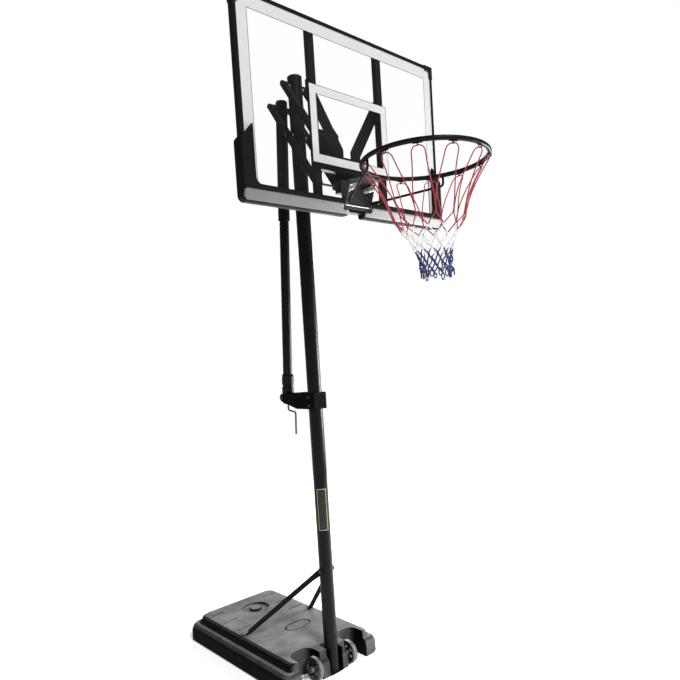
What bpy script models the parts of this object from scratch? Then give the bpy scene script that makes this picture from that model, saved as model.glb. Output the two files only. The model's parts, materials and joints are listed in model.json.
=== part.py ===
"""Portable basketball stand with a parallelogram lift, a crank jack and a breakaway rim.

Everything is modelled in metres with the pole on the Z axis, the floor at Z = 0 and the board
facing -Y. The whole stand hangs from one empty that moves the middle of its footprint to the
world's origin.
"""
import math
from dataclasses import dataclass

import bmesh
import bpy
import numpy as np
from mathutils import Matrix, Vector

GAP = 0.0003            # between pieces that touch
BOLT_GAP = 0.0003       # round a bolt in its hole
WELD = 0.000003

ROUND = 24              # sides of a large tube
BOLT_SIDES = 10
JACK_SIDES = 20
ARM_HOLE_SIDES = 16

# Rim and net
HOOP_DROP = 0.572         # from the pole's top down to the ring's centre
RING_INNER_R = 0.2286
RING_BAR_R = 0.009
RIM_STANDOFF = 0.149    # board's face to the ring's inner edge
RING_STEPS = 48
RING_SIDES = 8
HOOK_COUNT = 12
HOOK_STEPS = 8
HOOK_WIRE_R = 0.0020
HOOK_R = 0.0062
NET_ROWS = 7
NET_DROP = 0.220         # from the ring's centre to the first row of knots
NET_TAIL = 0.202         # from the first row to the last
NET_R_TOP = 0.136
NET_R_END = 0.057
NET_NARROWING = 2.2      # how early the bell narrows
NET_CROWDING = 0.88      # how the rows crowd towards the foot
NET_CORD = 0.0040
NET_KNOT = 0.0040
NET_EYE = 0.0033         # half widths of the loop that lies in its hook
NET_EYE_OUT = 0.0075
NET_SEAT = 0.0009        # cord above its hook's wire, for the tilt of its section

# Board
BOARD_FACE = -0.351
BOARD_W = 1.124
BOARD_H = 0.746
BOARD_DROP = 0.116      # from the ring's centre down to the board's lower edge
FRAME_DEPTH = 0.028
FRAME_WIDTH = 0.014
FRAME_LIP = 0.002
FRAME_WALL = 0.0016
PANEL_T = 0.004
STILE_X = 0.1935
STILE_W = 0.030
STILE_DEPTH = 0.025
TUBE_WALL = 0.0016
RAIL_RISE = 0.056         # this and the next heights are above the ring's centre
RAIL_H = 0.025
BRACE_W = 0.044
BRACE_T = 0.008
BRACE_FOOT_X = 0.042
BRACE_FOOT_RISE = 0.012
BRACE_BEND_RISE = 0.165
BRACE_TOP_RISE = 0.400
BRACE_LEAN = 32.0       # degrees off the vertical
CHANNEL_HALF_W = 0.085
CHANNEL_FALL = 0.040      # below the ring's centre
CHANNEL_RISE = 0.040
CHANNEL_WALL = 0.003
PAD_WALL = 0.016
PAD_BACK_WALL = 0.0085
PAD_OUT = 0.012
PAD_UNDER = 0.015
PAD_SIDE_IN = 0.047
PAD_RISE = 0.051
PAD_CORNER = 0.015       # slope where the pad's foot meets its upright leg
PAD_END_X = 0.045
PAD_TOP_IN = 0.271
PAD_TOP_OUT = 0.206
PAD_CHAMFER = 0.014
PAD_FACET_RISE = 0.041   # the sloped facet along the front of the foot
PAD_FACET_DEPTH = 0.018
PAD_EDGE = 0.005
PAD_BACK_RISE = 0.020
CORNER_LEG = 0.055
CORNER_COVER = 0.022
CORNER_WALL = 0.0022

# Breakaway mount of the rim
PLATE_T = 0.004
MOUNT_HALF_W = 0.0788
MOUNT_FALL = 0.100
MOUNT_RISE = 0.012
RIM_PIN_FALL = 0.090
RIM_PIN_FORWARD = 0.008
RIM_PIN_R = 0.003
FLANGE_OUT = 0.0750
FLANGE_T = 0.0035
FLANGE_REACH = 0.045
EAR_LOBE = 0.007
FLANGE_LOBE = 0.006
TOP_PLATE_RISE = 0.003
NECK_TOP_HALF_W = 0.045
SPRING_X = 0.050
SPRING_FALL = 0.020
SPRING_BOLT_R = 0.004
SPRING_LEN = 0.052
SPRING_MEAN_R = 0.01025
SPRING_WIRE_R = 0.00175
SPRING_CURLS = 6
ROD_ANGLE = 52.0
ROD_R = 0.005

# Pole
POLE_R = 0.0337
POLE_WALL = 0.002
POLE_FOOT = 0.0118
SEAM_1 = 0.980
SEAM_2 = 1.900
POLE_TOP = 2.822
SPIGOT = 0.070

# Lifting arms
ARM_SIZE = 0.025
ARM_WALL = 0.0016
ARM_X = 0.060
ARM_LEN = 0.320
ARM_SLOPE = -55.5
PIVOT_DROP = 0.045       # from the pole's top down to the upper pivot
PIVOT_STEP = 0.220       # between the upper and the lower pivot
REAR_LEVER = 0.194
PIVOT_BOLT_R = 0.005
PIVOT_HEAD_R = 0.0095
PIVOT_HEAD_T = 0.006
SPACER_R = 0.009
UPPER_TAIL = 0.025

# Board carrier
CHEEK_T = 0.004
CARRIER_FOOT_RISE = 0.012
CARRIER_BACK_RISE = 0.125
CARRIER_LOW_RISE = 0.096
CARRIER_HIGH_RISE = 0.152
CARRIER_LINK = 0.015    # half width of the upright link between the front pivots
CARRIER_LOBE = 0.018

# Jack
JACK_BASE_Y = 0.208
JACK_BASE_Z = 1.345
OUTER_TUBE_R = 0.028
OUTER_TUBE_WALL = 0.0015
OUTER_TUBE_START = 0.857
OUTER_TUBE_TAIL = 0.038
INNER_TUBE_R = 0.023
INNER_TUBE_WALL = 0.002
INNER_TUBE_END = 1.000
SCREW_R = 0.008
SCREW_START = 0.120
SCREW_END = 0.980
SCREW_PLAY = 0.0005
PUSH_TUBE_R = 0.018
PUSH_TUBE_WALL = 0.0025
NUT_START = 0.925
NUT_T = 0.025
SLEEVE_R = 0.015
HOUSING_R = 0.030
HOUSING_BOSS_R = 0.010
JACK_PLATE_T = 0.0035
JACK_PLATE_BOLTS = (JACK_BASE_Z + 0.005, JACK_BASE_Z - 0.035)
JACK_PLATE_BOLT_R = 0.004
JACK_PLATE_LOW = 0.053   # below and above the jack's foot
JACK_PLATE_HIGH = 0.025
JACK_PLATE_END_R = 0.020
SOCKET_START = 0.018
CRANK_R = 0.0045
CRANK_DROP = 0.066
CRANK_THROW = 0.058
CRANK_HANDLE = 0.110
CRANK_BEND = 0.010

# Base
TANK_HALF_W = 0.300
TANK_FRONT = -0.030
TANK_BACK = 0.890
TANK_H = 0.130
DECK_HALF_W = 0.245
TANK_CORNER_R = 0.070
TANK_NOSE_LEAN = 0.8     # how far the front leans back for each step the sides take in
NOTCH_IN = 0.080
NOTCH_OUT = 0.210
NOTCH_BACK = 0.085
WHEEL_R = 0.057
WHEEL_W = 0.030
WHEEL_X = 0.110
AXLE_Z = 0.0585
AXLE_R = 0.006
HUB_R = 0.014
WHEEL_WINDOWS = 5
WINDOW_R = 0.0075
WINDOW_AT = 0.027
AXLE_CAP_R = 0.011
BRACKET_T = 0.004
BRACKET_TOP = 0.124
BRACKET_FLOOR = 0.0083
BRACKET_BACK = 0.050
STRUT_R = 0.0125
STRUT_FLAT = 0.0035
STRUT_TOP_Z = 0.510
STRUT_FOOT_X = 0.222
STRUT_FOOT_Y = 0.430
STRUT_BOLT_R = 0.005
CAP_X = 0.020
CAP_Y = 0.670
CAP_R = 0.036
CAP_RECESS_R = 0.075
CAP_RECESS = 0.010
CAP_NECK_R = 0.022
CAP_NECK = 0.020
CAP_FLANGE = 0.013
CAP_KNURLS = 12
GROOVE_X = 0.035
GROOVE_Y = 0.305
GROOVE_HALF_X = 0.075
GROOVE_HALF_Y = 0.040
GROOVE_R = 0.006
RIB_ROWS = 3
RIB_FIRST_Y = 0.500
RIB_STEP = 0.130
RIB_IN = 0.130
RIB_OUT = 0.215
RIB_HALF = 0.006
RIB_DEPTH = 0.004

# Worked out from the sizes above
RIM_HEIGHT = POLE_TOP - HOOP_DROP
RAIL_Z = RIM_HEIGHT + RAIL_RISE
BRACE_FOOT_Z = RIM_HEIGHT + BRACE_FOOT_RISE
BRACE_BEND_Z = RIM_HEIGHT + BRACE_BEND_RISE
BRACE_TOP_Z = RIM_HEIGHT + BRACE_TOP_RISE
CHANNEL_Z0 = RIM_HEIGHT - CHANNEL_FALL
CHANNEL_Z1 = RIM_HEIGHT + CHANNEL_RISE
MOUNT_Z0 = RIM_HEIGHT - MOUNT_FALL
MOUNT_Z1 = RIM_HEIGHT + MOUNT_RISE
RIM_PIN_Z = RIM_HEIGHT - RIM_PIN_FALL
SPRING_Z = RIM_HEIGHT - SPRING_FALL
CARRIER_Z0 = RIM_HEIGHT + CARRIER_FOOT_RISE
CARRIER_Z1 = RIM_HEIGHT + CARRIER_BACK_RISE
CARRIER_ARM_LOW = RIM_HEIGHT + CARRIER_LOW_RISE
CARRIER_ARM_HIGH = RIM_HEIGHT + CARRIER_HIGH_RISE
BOARD_Z0 = RIM_HEIGHT - BOARD_DROP
BOARD_Z1 = BOARD_Z0 + BOARD_H
BOARD_X = BOARD_W / 2
RING_R = RING_INNER_R + RING_BAR_R
RING_Y = BOARD_FACE - RIM_STANDOFF - RING_INNER_R
PANEL_FRONT = BOARD_FACE + FRAME_LIP + GAP
PANEL_BACK = PANEL_FRONT + PANEL_T
STILE_FRONT = PANEL_BACK + GAP
STILE_BACK = STILE_FRONT + STILE_DEPTH
BRACE_FRONT = STILE_BACK + GAP
BRACE_BACK = BRACE_FRONT + BRACE_T
CARRIER_FRONT = BRACE_BACK + GAP
FRAME_BACK = BOARD_FACE + FRAME_DEPTH
MOUNT_BACK = PANEL_FRONT - GAP
MOUNT_FRONT = MOUNT_BACK - PLATE_T
NECK_BACK = MOUNT_FRONT - GAP
NECK_FRONT = NECK_BACK - PLATE_T
RIM_PIN_Y = NECK_BACK - RIM_PIN_FORWARD
PIVOT_UP_Z = POLE_TOP - PIVOT_DROP
PIVOT_LOW_Z = PIVOT_UP_Z - PIVOT_STEP
ARM_IN = ARM_X - ARM_SIZE / 2
ARM_OUT = ARM_X + ARM_SIZE / 2
ARM_DIR = Vector((0.0, -math.cos(math.radians(ARM_SLOPE)), math.sin(math.radians(ARM_SLOPE))))
PIVOT_UP = Vector((0.0, 0.0, PIVOT_UP_Z))
PIVOT_LOW = Vector((0.0, 0.0, PIVOT_LOW_Z))
FRONT_UP = PIVOT_UP + ARM_DIR * ARM_LEN
FRONT_LOW = PIVOT_LOW + ARM_DIR * ARM_LEN
REAR_PIVOT = PIVOT_LOW - ARM_DIR * REAR_LEVER
JACK_BASE = Vector((0.0, JACK_BASE_Y, JACK_BASE_Z))
JACK_LEN = (REAR_PIVOT - JACK_BASE).length
JACK_DIR = (REAR_PIVOT - JACK_BASE).normalized()
RING_FRONT = -RING_Y + RING_R + RING_BAR_R * math.cos(math.pi / RING_SIDES)
POLE_Y = (RING_FRONT - TANK_BACK) / 2
X_AXIS = Vector((1.0, 0.0, 0.0))
Z_AXIS = Vector((0.0, 0.0, 1.0))


@dataclass
class Body:
    """A group of pieces that move together, hung from an empty on its joint's axis."""

    empty: bpy.types.Object
    pivot: Vector


def clear_scene():
    for item in list(bpy.data.objects):
        bpy.data.objects.remove(item, do_unlink=True)


def finish(name, colour, roughness, metallic=0.0, alpha=1.0):
    made = bpy.data.materials.new(name)
    made.use_nodes = True
    shader = made.node_tree.nodes["Principled BSDF"]
    shader.inputs["Base Color"].default_value = (*colour, 1.0)
    shader.inputs["Roughness"].default_value = roughness
    shader.inputs["Metallic"].default_value = metallic
    shader.inputs["Alpha"].default_value = alpha
    made.diffuse_color = (*colour, alpha)
    return made


def empty_at(name, location, parent=None):
    made = bpy.data.objects.new(name, None)
    made.location = location
    made.parent = parent
    bpy.context.scene.collection.objects.link(made)
    return made


def body_at(stand, name, pivot):
    return Body(empty_at(name, pivot, stand), Vector(pivot))


def smooth(mesh, angle=35.0):
    mesh.shade_smooth()
    mesh.set_sharp_from_angle(angle=math.radians(angle))


def add_piece(name, bm, look, body, location=(0, 0, 0), direction=None):
    """Turn a bmesh into an object; direction is where the mesh's own +Z goes."""
    bmesh.ops.recalc_face_normals(bm, faces=bm.faces[:])
    mesh = bpy.data.meshes.new(name)
    bm.to_mesh(mesh)
    bm.free()
    if look:
        mesh.materials.append(look)
    smooth(mesh)
    made = bpy.data.objects.new(name, mesh)
    bpy.context.scene.collection.objects.link(made)
    made.parent = body.empty
    made.location = Vector(location) - body.pivot
    if direction is not None:
        made.rotation_euler = Z_AXIS.rotation_difference(Vector(direction)).to_euler()
    return made


def settle(piece):
    """Apply a piece's modifiers to its mesh and weld what they leave in one spot."""
    bpy.context.view_layer.update()
    graph = bpy.context.evaluated_depsgraph_get()
    mesh = bpy.data.meshes.new_from_object(piece.evaluated_get(graph))
    piece.modifiers.clear()
    bm = bmesh.new()
    bm.from_mesh(mesh)
    bmesh.ops.remove_doubles(bm, verts=bm.verts, dist=WELD)
    bmesh.ops.dissolve_degenerate(bm, dist=WELD, edges=bm.edges)
    bm.to_mesh(mesh)
    bm.free()
    piece.data = mesh
    smooth(mesh)


def combine(piece, others, operation):
    """Boolean a list of helper objects into a piece and remove them."""
    for index, other in enumerate(others):
        step = piece.modifiers.new("step_%d" % index, "BOOLEAN")
        step.operation = operation
        step.solver = "EXACT"
        step.object = other
    settle(piece)
    for other in others:
        bpy.data.objects.remove(other, do_unlink=True)


def cut(piece, others):
    combine(piece, others, "DIFFERENCE")


def join(piece, others):
    combine(piece, others, "UNION")


def box_mesh(low, high):
    bm = bmesh.new()
    bmesh.ops.create_cube(bm, size=1.0)
    low, high = Vector(low), Vector(high)
    size = high - low
    bmesh.ops.scale(bm, vec=size, verts=bm.verts)
    bmesh.ops.translate(bm, vec=(low + high) / 2, verts=bm.verts)
    return bm


def turned_mesh(profile, segments=24, ring=False):
    """Turn a profile of (radius, height) points about Z; ring joins its last point to its first."""
    bm = bmesh.new()
    rows = []
    for radius, height in profile:
        if radius <= 0:
            rows.append([bm.verts.new((0, 0, height))])
            continue
        row = []
        for k in range(segments):
            turn = 2 * math.pi * (k + 0.5) / segments
            row.append(bm.verts.new((radius * math.cos(turn), radius * math.sin(turn), height)))
        rows.append(row)
    pairs = list(zip(rows, rows[1:]))
    if ring:
        pairs.append((rows[-1], rows[0]))
    for first, second in pairs:
        for k in range(segments):
            after = (k + 1) % segments
            corners = [first[k % len(first)], first[after % len(first)],
                       second[after % len(second)], second[k % len(second)]]
            corners = list(dict.fromkeys(corners))
            if len(corners) > 2:
                bm.faces.new(corners)
    return bm


def cylinder_mesh(radius, start, end, segments=BOLT_SIDES):
    return turned_mesh([(0, start), (radius, start), (radius, end), (0, end)], segments)


def tube_mesh(outer, inner, start, end, segments=24):
    profile = [(inner, start), (outer, start), (outer, end), (inner, end)]
    return turned_mesh(profile, segments, ring=True)


def prism_mesh(outline, low, high, axis):
    """Extrude an outline along X, Y or Z; outline points are the other two axes in order."""
    bm = bmesh.new()
    order = {"X": (2, 0, 1), "Y": (0, 2, 1), "Z": (0, 1, 2)}[axis]
    ends = []
    for level in (low, high):
        row = []
        for u, v in outline:
            triple = (u, v, level)
            row.append(bm.verts.new(tuple(triple[i] for i in order)))
        ends.append(row)
    bm.faces.new(ends[0])
    bm.faces.new(list(reversed(ends[1])))
    count = len(outline)
    for k in range(count):
        after = (k + 1) % count
        bm.faces.new((ends[0][k], ends[0][after], ends[1][after], ends[1][k]))
    return bm


def arc(centre, radius, start, end, steps=8):
    """Points on an arc, angles in degrees."""
    points = []
    for k in range(steps + 1):
        turn = math.radians(start + (end - start) * k / steps)
        points.append((centre[0] + radius * math.cos(turn), centre[1] + radius * math.sin(turn)))
    return points


def loft_mesh(rows):
    """Join rows of equally many points into one closed skin with flat ends."""
    bm = bmesh.new()
    made = [[bm.verts.new(point) for point in row] for row in rows]
    count = len(rows[0])
    for first, second in zip(made, made[1:]):
        for k in range(count):
            after = (k + 1) % count
            bm.faces.new((first[k], first[after], second[after], second[k]))
    bm.faces.new(made[0])
    bm.faces.new(made[-1])
    return bm


def rod_mesh(points, radius, sides=8, closed=False):
    """A round rod along points, with its sections square to the path."""
    bm = bmesh.new()
    points = [Vector(p) for p in points]
    count = len(points)
    rows = []
    side = None
    for k, point in enumerate(points):
        before = points[k - 1] if k or closed else point
        after = points[(k + 1) % count] if k < count - 1 or closed else point
        along = (after - before).normalized()
        if side is None:
            side = along.orthogonal().normalized()
        side = (side - along * side.dot(along)).normalized()
        other = along.cross(side)
        row = []
        for s in range(sides):
            turn = 2 * math.pi * (s + 0.5) / sides
            offset = side * math.cos(turn) + other * math.sin(turn)
            row.append(bm.verts.new(point + offset * radius))
        rows.append(row)
    pairs = list(zip(rows, rows[1:]))
    if closed:
        pairs.append((rows[-1], rows[0]))
    for first, second in pairs:
        for s in range(sides):
            after = (s + 1) % sides
            bm.faces.new((first[s], first[after], second[after], second[s]))
    if not closed:
        bm.faces.new(rows[0])
        bm.faces.new(rows[-1])
    return bm


def square_tube(name, low, high, axis, wall, look, body):
    """An open square tube that fills a box, its bore running along the named axis."""
    piece = add_piece(name, box_mesh(low, high), look, body)
    bore_low = [value + wall for value in low]
    bore_high = [value - wall for value in high]
    run = "XYZ".index(axis)
    bore_low[run] = low[run] - wall
    bore_high[run] = high[run] + wall
    cut(piece, [add_piece("bore", box_mesh(bore_low, bore_high), None, body)])
    return piece


def cross_hole(body, radius, y, z, reach, segments=BOLT_SIDES):
    """A round cutter along X through a point of the YZ plane."""
    return add_piece("hole", cylinder_mesh(radius, -reach, reach, segments), None, body,
                     (0, y, z), X_AXIS)


def cross_bolt(name, radius, head_r, head_t, seat, y, z, look, body):
    """A bolt along X with a head and a nut seated at plus and minus seat."""
    end = seat + head_t
    profile = [(0, -end), (head_r, -end), (head_r, -seat), (radius, -seat),
               (radius, seat), (head_r, seat), (head_r, end), (0, end)]
    return add_piece(name, turned_mesh(profile, BOLT_SIDES), look, body, (0, y, z), X_AXIS)


def make_tank(body, look):
    """The water tank: stacked rounded outlines, then its notches, recess and grooves."""
    layers = [
        (TANK_HALF_W - 0.006, 0.0, 0.006),
        (TANK_HALF_W, 0.008, 0.0),
        (TANK_HALF_W - 0.001, 0.058, 0.001),
        (TANK_HALF_W - 0.008, 0.078, 0.008),
        (TANK_HALF_W - 0.022, 0.089, 0.022),
        (TANK_HALF_W - 0.038, 0.093, 0.036),
        (DECK_HALF_W + 0.006, 0.104, 0.046),
        (DECK_HALF_W, 0.122, 0.052),
        (DECK_HALF_W - 0.010, TANK_H, 0.062),
    ]
    rows = []
    for half, z, inset in layers:
        front = TANK_FRONT + min(inset, 0.030) * TANK_NOSE_LEAN
        back = TANK_BACK - inset
        turn = max(TANK_CORNER_R - inset * 0.5, 0.030)
        nose = max(turn * 0.6, 0.020)
        points = []
        points += arc((half - nose, front + nose), nose, -90, 0, 6)
        points += arc((half - turn, back - turn), turn, 0, 90, 6)
        points += arc((-half + turn, back - turn), turn, 90, 180, 6)
        points += arc((-half + nose, front + nose), nose, 180, 270, 6)
        rows.append([(x, y, z) for x, y in points])
    tank = add_piece("base_tank", loft_mesh(rows), look, body)
    tools = []
    for side in (-1, 1):
        middle = side * (NOTCH_IN + NOTCH_OUT) / 2
        half = (NOTCH_OUT - NOTCH_IN) / 2
        corner_r = half * 0.72
        outline = [(middle - half, TANK_FRONT - 0.05), (middle + half, TANK_FRONT - 0.05)]
        outline += arc((middle + half - corner_r, NOTCH_BACK - corner_r), corner_r, 0, 90, 6)
        outline += arc((middle - half + corner_r, NOTCH_BACK - corner_r), corner_r, 90, 180, 6)
        tools.append(add_piece("notch", prism_mesh(outline, -0.02, TANK_H + 0.02, "Z"), None, body))
    slot_half = POLE_R + GAP + BRACKET_T + GAP
    slot_low = (-slot_half, TANK_FRONT - 0.05, BRACKET_FLOOR - GAP)
    slot_high = (slot_half, BRACKET_BACK + GAP, TANK_H + 0.02)
    tools.append(add_piece("slot", box_mesh(slot_low, slot_high), None, body))
    tools.append(cross_hole(body, AXLE_R + BOLT_GAP, 0.0, AXLE_Z, NOTCH_IN + 0.02))
    neck = CAP_NECK_R + GAP
    bottom = TANK_H - CAP_RECESS - CAP_NECK - 0.004
    profile = [(0, bottom), (neck, bottom), (neck, TANK_H - CAP_RECESS),
               (CAP_RECESS_R, TANK_H - CAP_RECESS), (CAP_RECESS_R + 0.004, TANK_H + 0.02),
               (0, TANK_H + 0.02)]
    tools.append(add_piece("recess", turned_mesh(profile, 32), None, body, (CAP_X, CAP_Y, 0)))
    groove = []
    for k in range(32):
        turn = 2 * math.pi * k / 32
        groove.append((GROOVE_X + GROOVE_HALF_X * math.cos(turn),
                       GROOVE_Y + GROOVE_HALF_Y * math.sin(turn), TANK_H + GROOVE_R / 5))
    tools.append(add_piece("groove", rod_mesh(groove, GROOVE_R, 4, closed=True), None, body))
    for step in range(RIB_ROWS):
        y = RIB_FIRST_Y + RIB_STEP * step
        for side in (-1, 1):
            low = (min(side * RIB_IN, side * RIB_OUT), y - RIB_HALF, TANK_H - RIB_DEPTH)
            high = (max(side * RIB_IN, side * RIB_OUT), y + RIB_HALF, TANK_H + 0.01)
            tools.append(add_piece("rib_gap", box_mesh(low, high), None, body))
    cut(tank, tools)
    return tank


def make_wheel(name, side, body, look):
    half = WHEEL_W / 2
    hub_start = NOTCH_IN + GAP - WHEEL_X
    hub_end = WHEEL_X - (NOTCH_IN + GAP)
    bore = AXLE_R + BOLT_GAP
    profile = [
        (bore, hub_start), (HUB_R, hub_start), (HUB_R, -half * 0.35),
        (WHEEL_R * 0.70, -half * 0.35), (WHEEL_R * 0.74, -half * 0.86), (WHEEL_R * 0.90, -half),
        (WHEEL_R, -half * 0.60), (WHEEL_R, half * 0.60), (WHEEL_R * 0.90, half),
        (WHEEL_R * 0.74, half * 0.86), (WHEEL_R * 0.70, half * 0.35), (HUB_R, half * 0.35),
        (HUB_R, hub_end), (bore, hub_end),
    ]
    place = (side * WHEEL_X, 0, AXLE_Z)
    wheel = add_piece(name, turned_mesh(profile, ROUND, ring=True), look, body, place, X_AXIS)
    windows = []
    for k in range(WHEEL_WINDOWS):
        turn = 2 * math.pi * k / WHEEL_WINDOWS
        spot = (side * WHEEL_X, WINDOW_AT * math.cos(turn), AXLE_Z + WINDOW_AT * math.sin(turn))
        windows.append(add_piece("window", cylinder_mesh(WINDOW_R, -WHEEL_W, WHEEL_W, 8), None, body,
                                 spot, X_AXIS))
    cut(wheel, windows)
    return wheel


def make_axle(body, look):
    end = 2 * WHEEL_X - NOTCH_IN
    cap_end = end + 0.008
    nose = AXLE_CAP_R - 0.002
    profile = [(0, -cap_end), (nose, -cap_end), (AXLE_CAP_R, -cap_end + 0.003), (AXLE_CAP_R, -end),
               (AXLE_R, -end), (AXLE_R, end), (AXLE_CAP_R, end), (AXLE_CAP_R, cap_end - 0.003),
               (nose, cap_end), (0, cap_end)]
    return add_piece("wheel_axle", turned_mesh(profile, 20), look, body, (0, 0, AXLE_Z), X_AXIS)


def make_foot_bracket(body, look):
    """A folded U of plate that holds the pole's foot on the axle."""
    inner = POLE_R + GAP
    outer = inner + BRACKET_T
    front = -POLE_R - 0.006
    floor_top = POLE_FOOT - GAP
    outline = [(-outer, BRACKET_FLOOR), (outer, BRACKET_FLOOR), (outer, BRACKET_TOP),
               (inner, BRACKET_TOP), (inner, floor_top), (-inner, floor_top),
               (-inner, BRACKET_TOP), (-outer, BRACKET_TOP)]
    piece = add_piece("pole_bracket", prism_mesh(outline, front, BRACKET_BACK, "Y"), look, body)
    slope = [(BRACKET_BACK - 0.030, BRACKET_TOP + 0.01), (BRACKET_BACK + 0.01, BRACKET_TOP + 0.01),
             (BRACKET_BACK + 0.01, BRACKET_TOP - 0.045)]
    cut(piece, [add_piece("slope", prism_mesh(slope, -0.06, 0.06, "X"), None, body),
                cross_hole(body, AXLE_R + BOLT_GAP, 0.0, AXLE_Z, 0.06)])
    return piece


def make_strut(name, side, body, look):
    """A tube with both ends pressed flat: the top one upright, the foot one lying on the deck."""
    plate_x = side * (POLE_R + GAP + STRUT_FLAT / 2)
    foot_z = TANK_H + GAP + STRUT_FLAT / 2
    top = Vector((plate_x, 0.0, STRUT_TOP_Z))
    foot = Vector((side * STRUT_FOOT_X, STRUT_FOOT_Y, foot_z))
    run = Vector((0.0, foot.y, foot.z - STRUT_TOP_Z)).normalized()
    level = Vector((foot.x - top.x, foot.y, 0.0)).normalized()
    tube_start = top + run * 0.040 + Vector((side * 0.012, 0, 0))
    tube_end = foot - level * 0.030 + Vector((0, 0, 0.014))
    straight = (tube_end - tube_start).normalized()
    x_side = Vector((side, 0, 0))
    across_top = run.cross(x_side).normalized()
    across_foot = level.cross(Z_AXIS).normalized()
    flat = STRUT_FLAT / 2
    wide = STRUT_R * 1.30
    mid_a = straight.cross(x_side).normalized()
    mid_b = straight.cross(mid_a).normalized()
    if mid_b.dot(x_side) < 0:
        mid_b = -mid_b
    stations = [
        (top - run * 0.016, across_top, x_side, wide, flat),
        (top + run * 0.018, across_top, x_side, wide, flat),
        (tube_start + straight * 0.020, mid_a, mid_b, STRUT_R, STRUT_R),
        (tube_end - straight * 0.020, mid_a, mid_b, STRUT_R, STRUT_R),
    ]
    if across_foot.dot(mid_a) < 0:
        across_foot = -across_foot
    up = Z_AXIS if Z_AXIS.dot(mid_b) > 0 else -Z_AXIS
    stations.append((foot - level * 0.016, across_foot, up, wide, flat))
    stations.append((foot + level * 0.016, across_foot, up, wide, flat))
    rows = []
    for centre, across, thick, a, b in stations:
        row = []
        for k in range(12):
            turn = 2 * math.pi * (k + 0.5) / 12
            row.append(centre + across * (a * math.cos(turn)) + thick * (b * math.sin(turn)))
        rows.append(row)
    strut = add_piece(name, loft_mesh(rows), look, body)
    cut(strut, [cross_hole(body, STRUT_BOLT_R + BOLT_GAP, 0.0, STRUT_TOP_Z, 0.08)])
    return strut


def make_pole(body, look, cap_look):
    """Three nested tubes: each upper one has a narrower end that goes into the one below."""
    inner = POLE_R - POLE_WALL
    neck_out = inner - GAP
    neck_in = neck_out - POLE_WALL
    lower = tube_mesh(POLE_R, inner, POLE_FOOT, SEAM_1, ROUND)
    lower = add_piece("pole_lower", lower, look, body)
    cut(lower, [cross_hole(body, AXLE_R + BOLT_GAP, 0, AXLE_Z, 0.05),
                cross_hole(body, STRUT_BOLT_R + BOLT_GAP, 0, STRUT_TOP_Z, 0.05)])

    def upper_section(name, seam, top):
        profile = [(neck_in, seam - SPIGOT), (neck_out, seam - SPIGOT), (neck_out, seam + GAP),
                   (POLE_R, seam + GAP), (POLE_R, top), (inner, top),
                   (inner, seam + 0.012), (neck_in, seam + 0.004)]
        return add_piece(name, turned_mesh(profile, ROUND, ring=True), look, body)

    middle = upper_section("pole_middle", SEAM_1, SEAM_2)
    cut(middle, [cross_hole(body, JACK_PLATE_BOLT_R + BOLT_GAP, 0, z, 0.05)
                 for z in JACK_PLATE_BOLTS])
    top = upper_section("pole_upper", SEAM_2, POLE_TOP)
    cut(top, [cross_hole(body, PIVOT_BOLT_R + BOLT_GAP, 0, z, 0.05)
              for z in (PIVOT_LOW_Z, PIVOT_UP_Z)])
    cap_in = inner - GAP
    seat = POLE_TOP + GAP
    profile = [(cap_in - 0.002, POLE_TOP - 0.014), (cap_in, POLE_TOP - 0.014), (cap_in, seat),
               (POLE_R + 0.001, seat), (POLE_R + 0.001, seat + 0.003), (POLE_R - 0.004, seat + 0.007),
               (POLE_R * 0.5, seat + 0.0095), (0, seat + 0.010), (0, seat + 0.006),
               (cap_in - 0.002, seat + 0.002)]
    add_piece("pole_cap", turned_mesh(profile, ROUND, ring=True), cap_look, body)


def make_arm(name, side, rear, front, tail, nose, holes, body, look):
    """A square tube with rounded cheeks at both ends and cross holes for its pivots."""
    along = (front - rear).normalized()
    start = rear - along * tail
    end = front + along * nose
    half = ARM_SIZE / 2
    length = (end - start).length
    outline = arc((half, 0), half, 90, 270, 7) + arc((length - half, 0), half, -90, 90, 7)
    bm = prism_mesh(outline, -half, half, "Z")
    bore = box_mesh((-0.01, -half + ARM_WALL, -half + ARM_WALL),
                    (length + 0.01, half - ARM_WALL, half - ARM_WALL))
    turn = Matrix((along, X_AXIS.cross(along), X_AXIS)).transposed().to_4x4()
    middle = start + X_AXIS * (side * ARM_X)
    place = Matrix.Translation(middle) @ turn
    bmesh.ops.transform(bm, matrix=place, verts=bm.verts)
    bmesh.ops.transform(bore, matrix=place, verts=bore.verts)
    arm = add_piece(name, bm, look, body)
    tools = []
    for point in holes:
        tools.append(cross_hole(body, PIVOT_BOLT_R + BOLT_GAP, point.y, point.z, 0.09, ARM_HOLE_SIDES))
    tools.append(add_piece("bore", bore, None, body))
    cut(arm, tools)
    return arm


def make_half_pin(name, side, point, body, look):
    """A pin from outside one arm to its inner face."""
    seat = ARM_OUT + GAP
    profile = [(0, ARM_IN), (PIVOT_BOLT_R, ARM_IN), (PIVOT_BOLT_R, seat), (PIVOT_HEAD_R, seat),
               (PIVOT_HEAD_R, seat + PIVOT_HEAD_T), (0, seat + PIVOT_HEAD_T)]
    return add_piece(name, turned_mesh(profile, BOLT_SIDES), look, body, point, X_AXIS * side)


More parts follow.
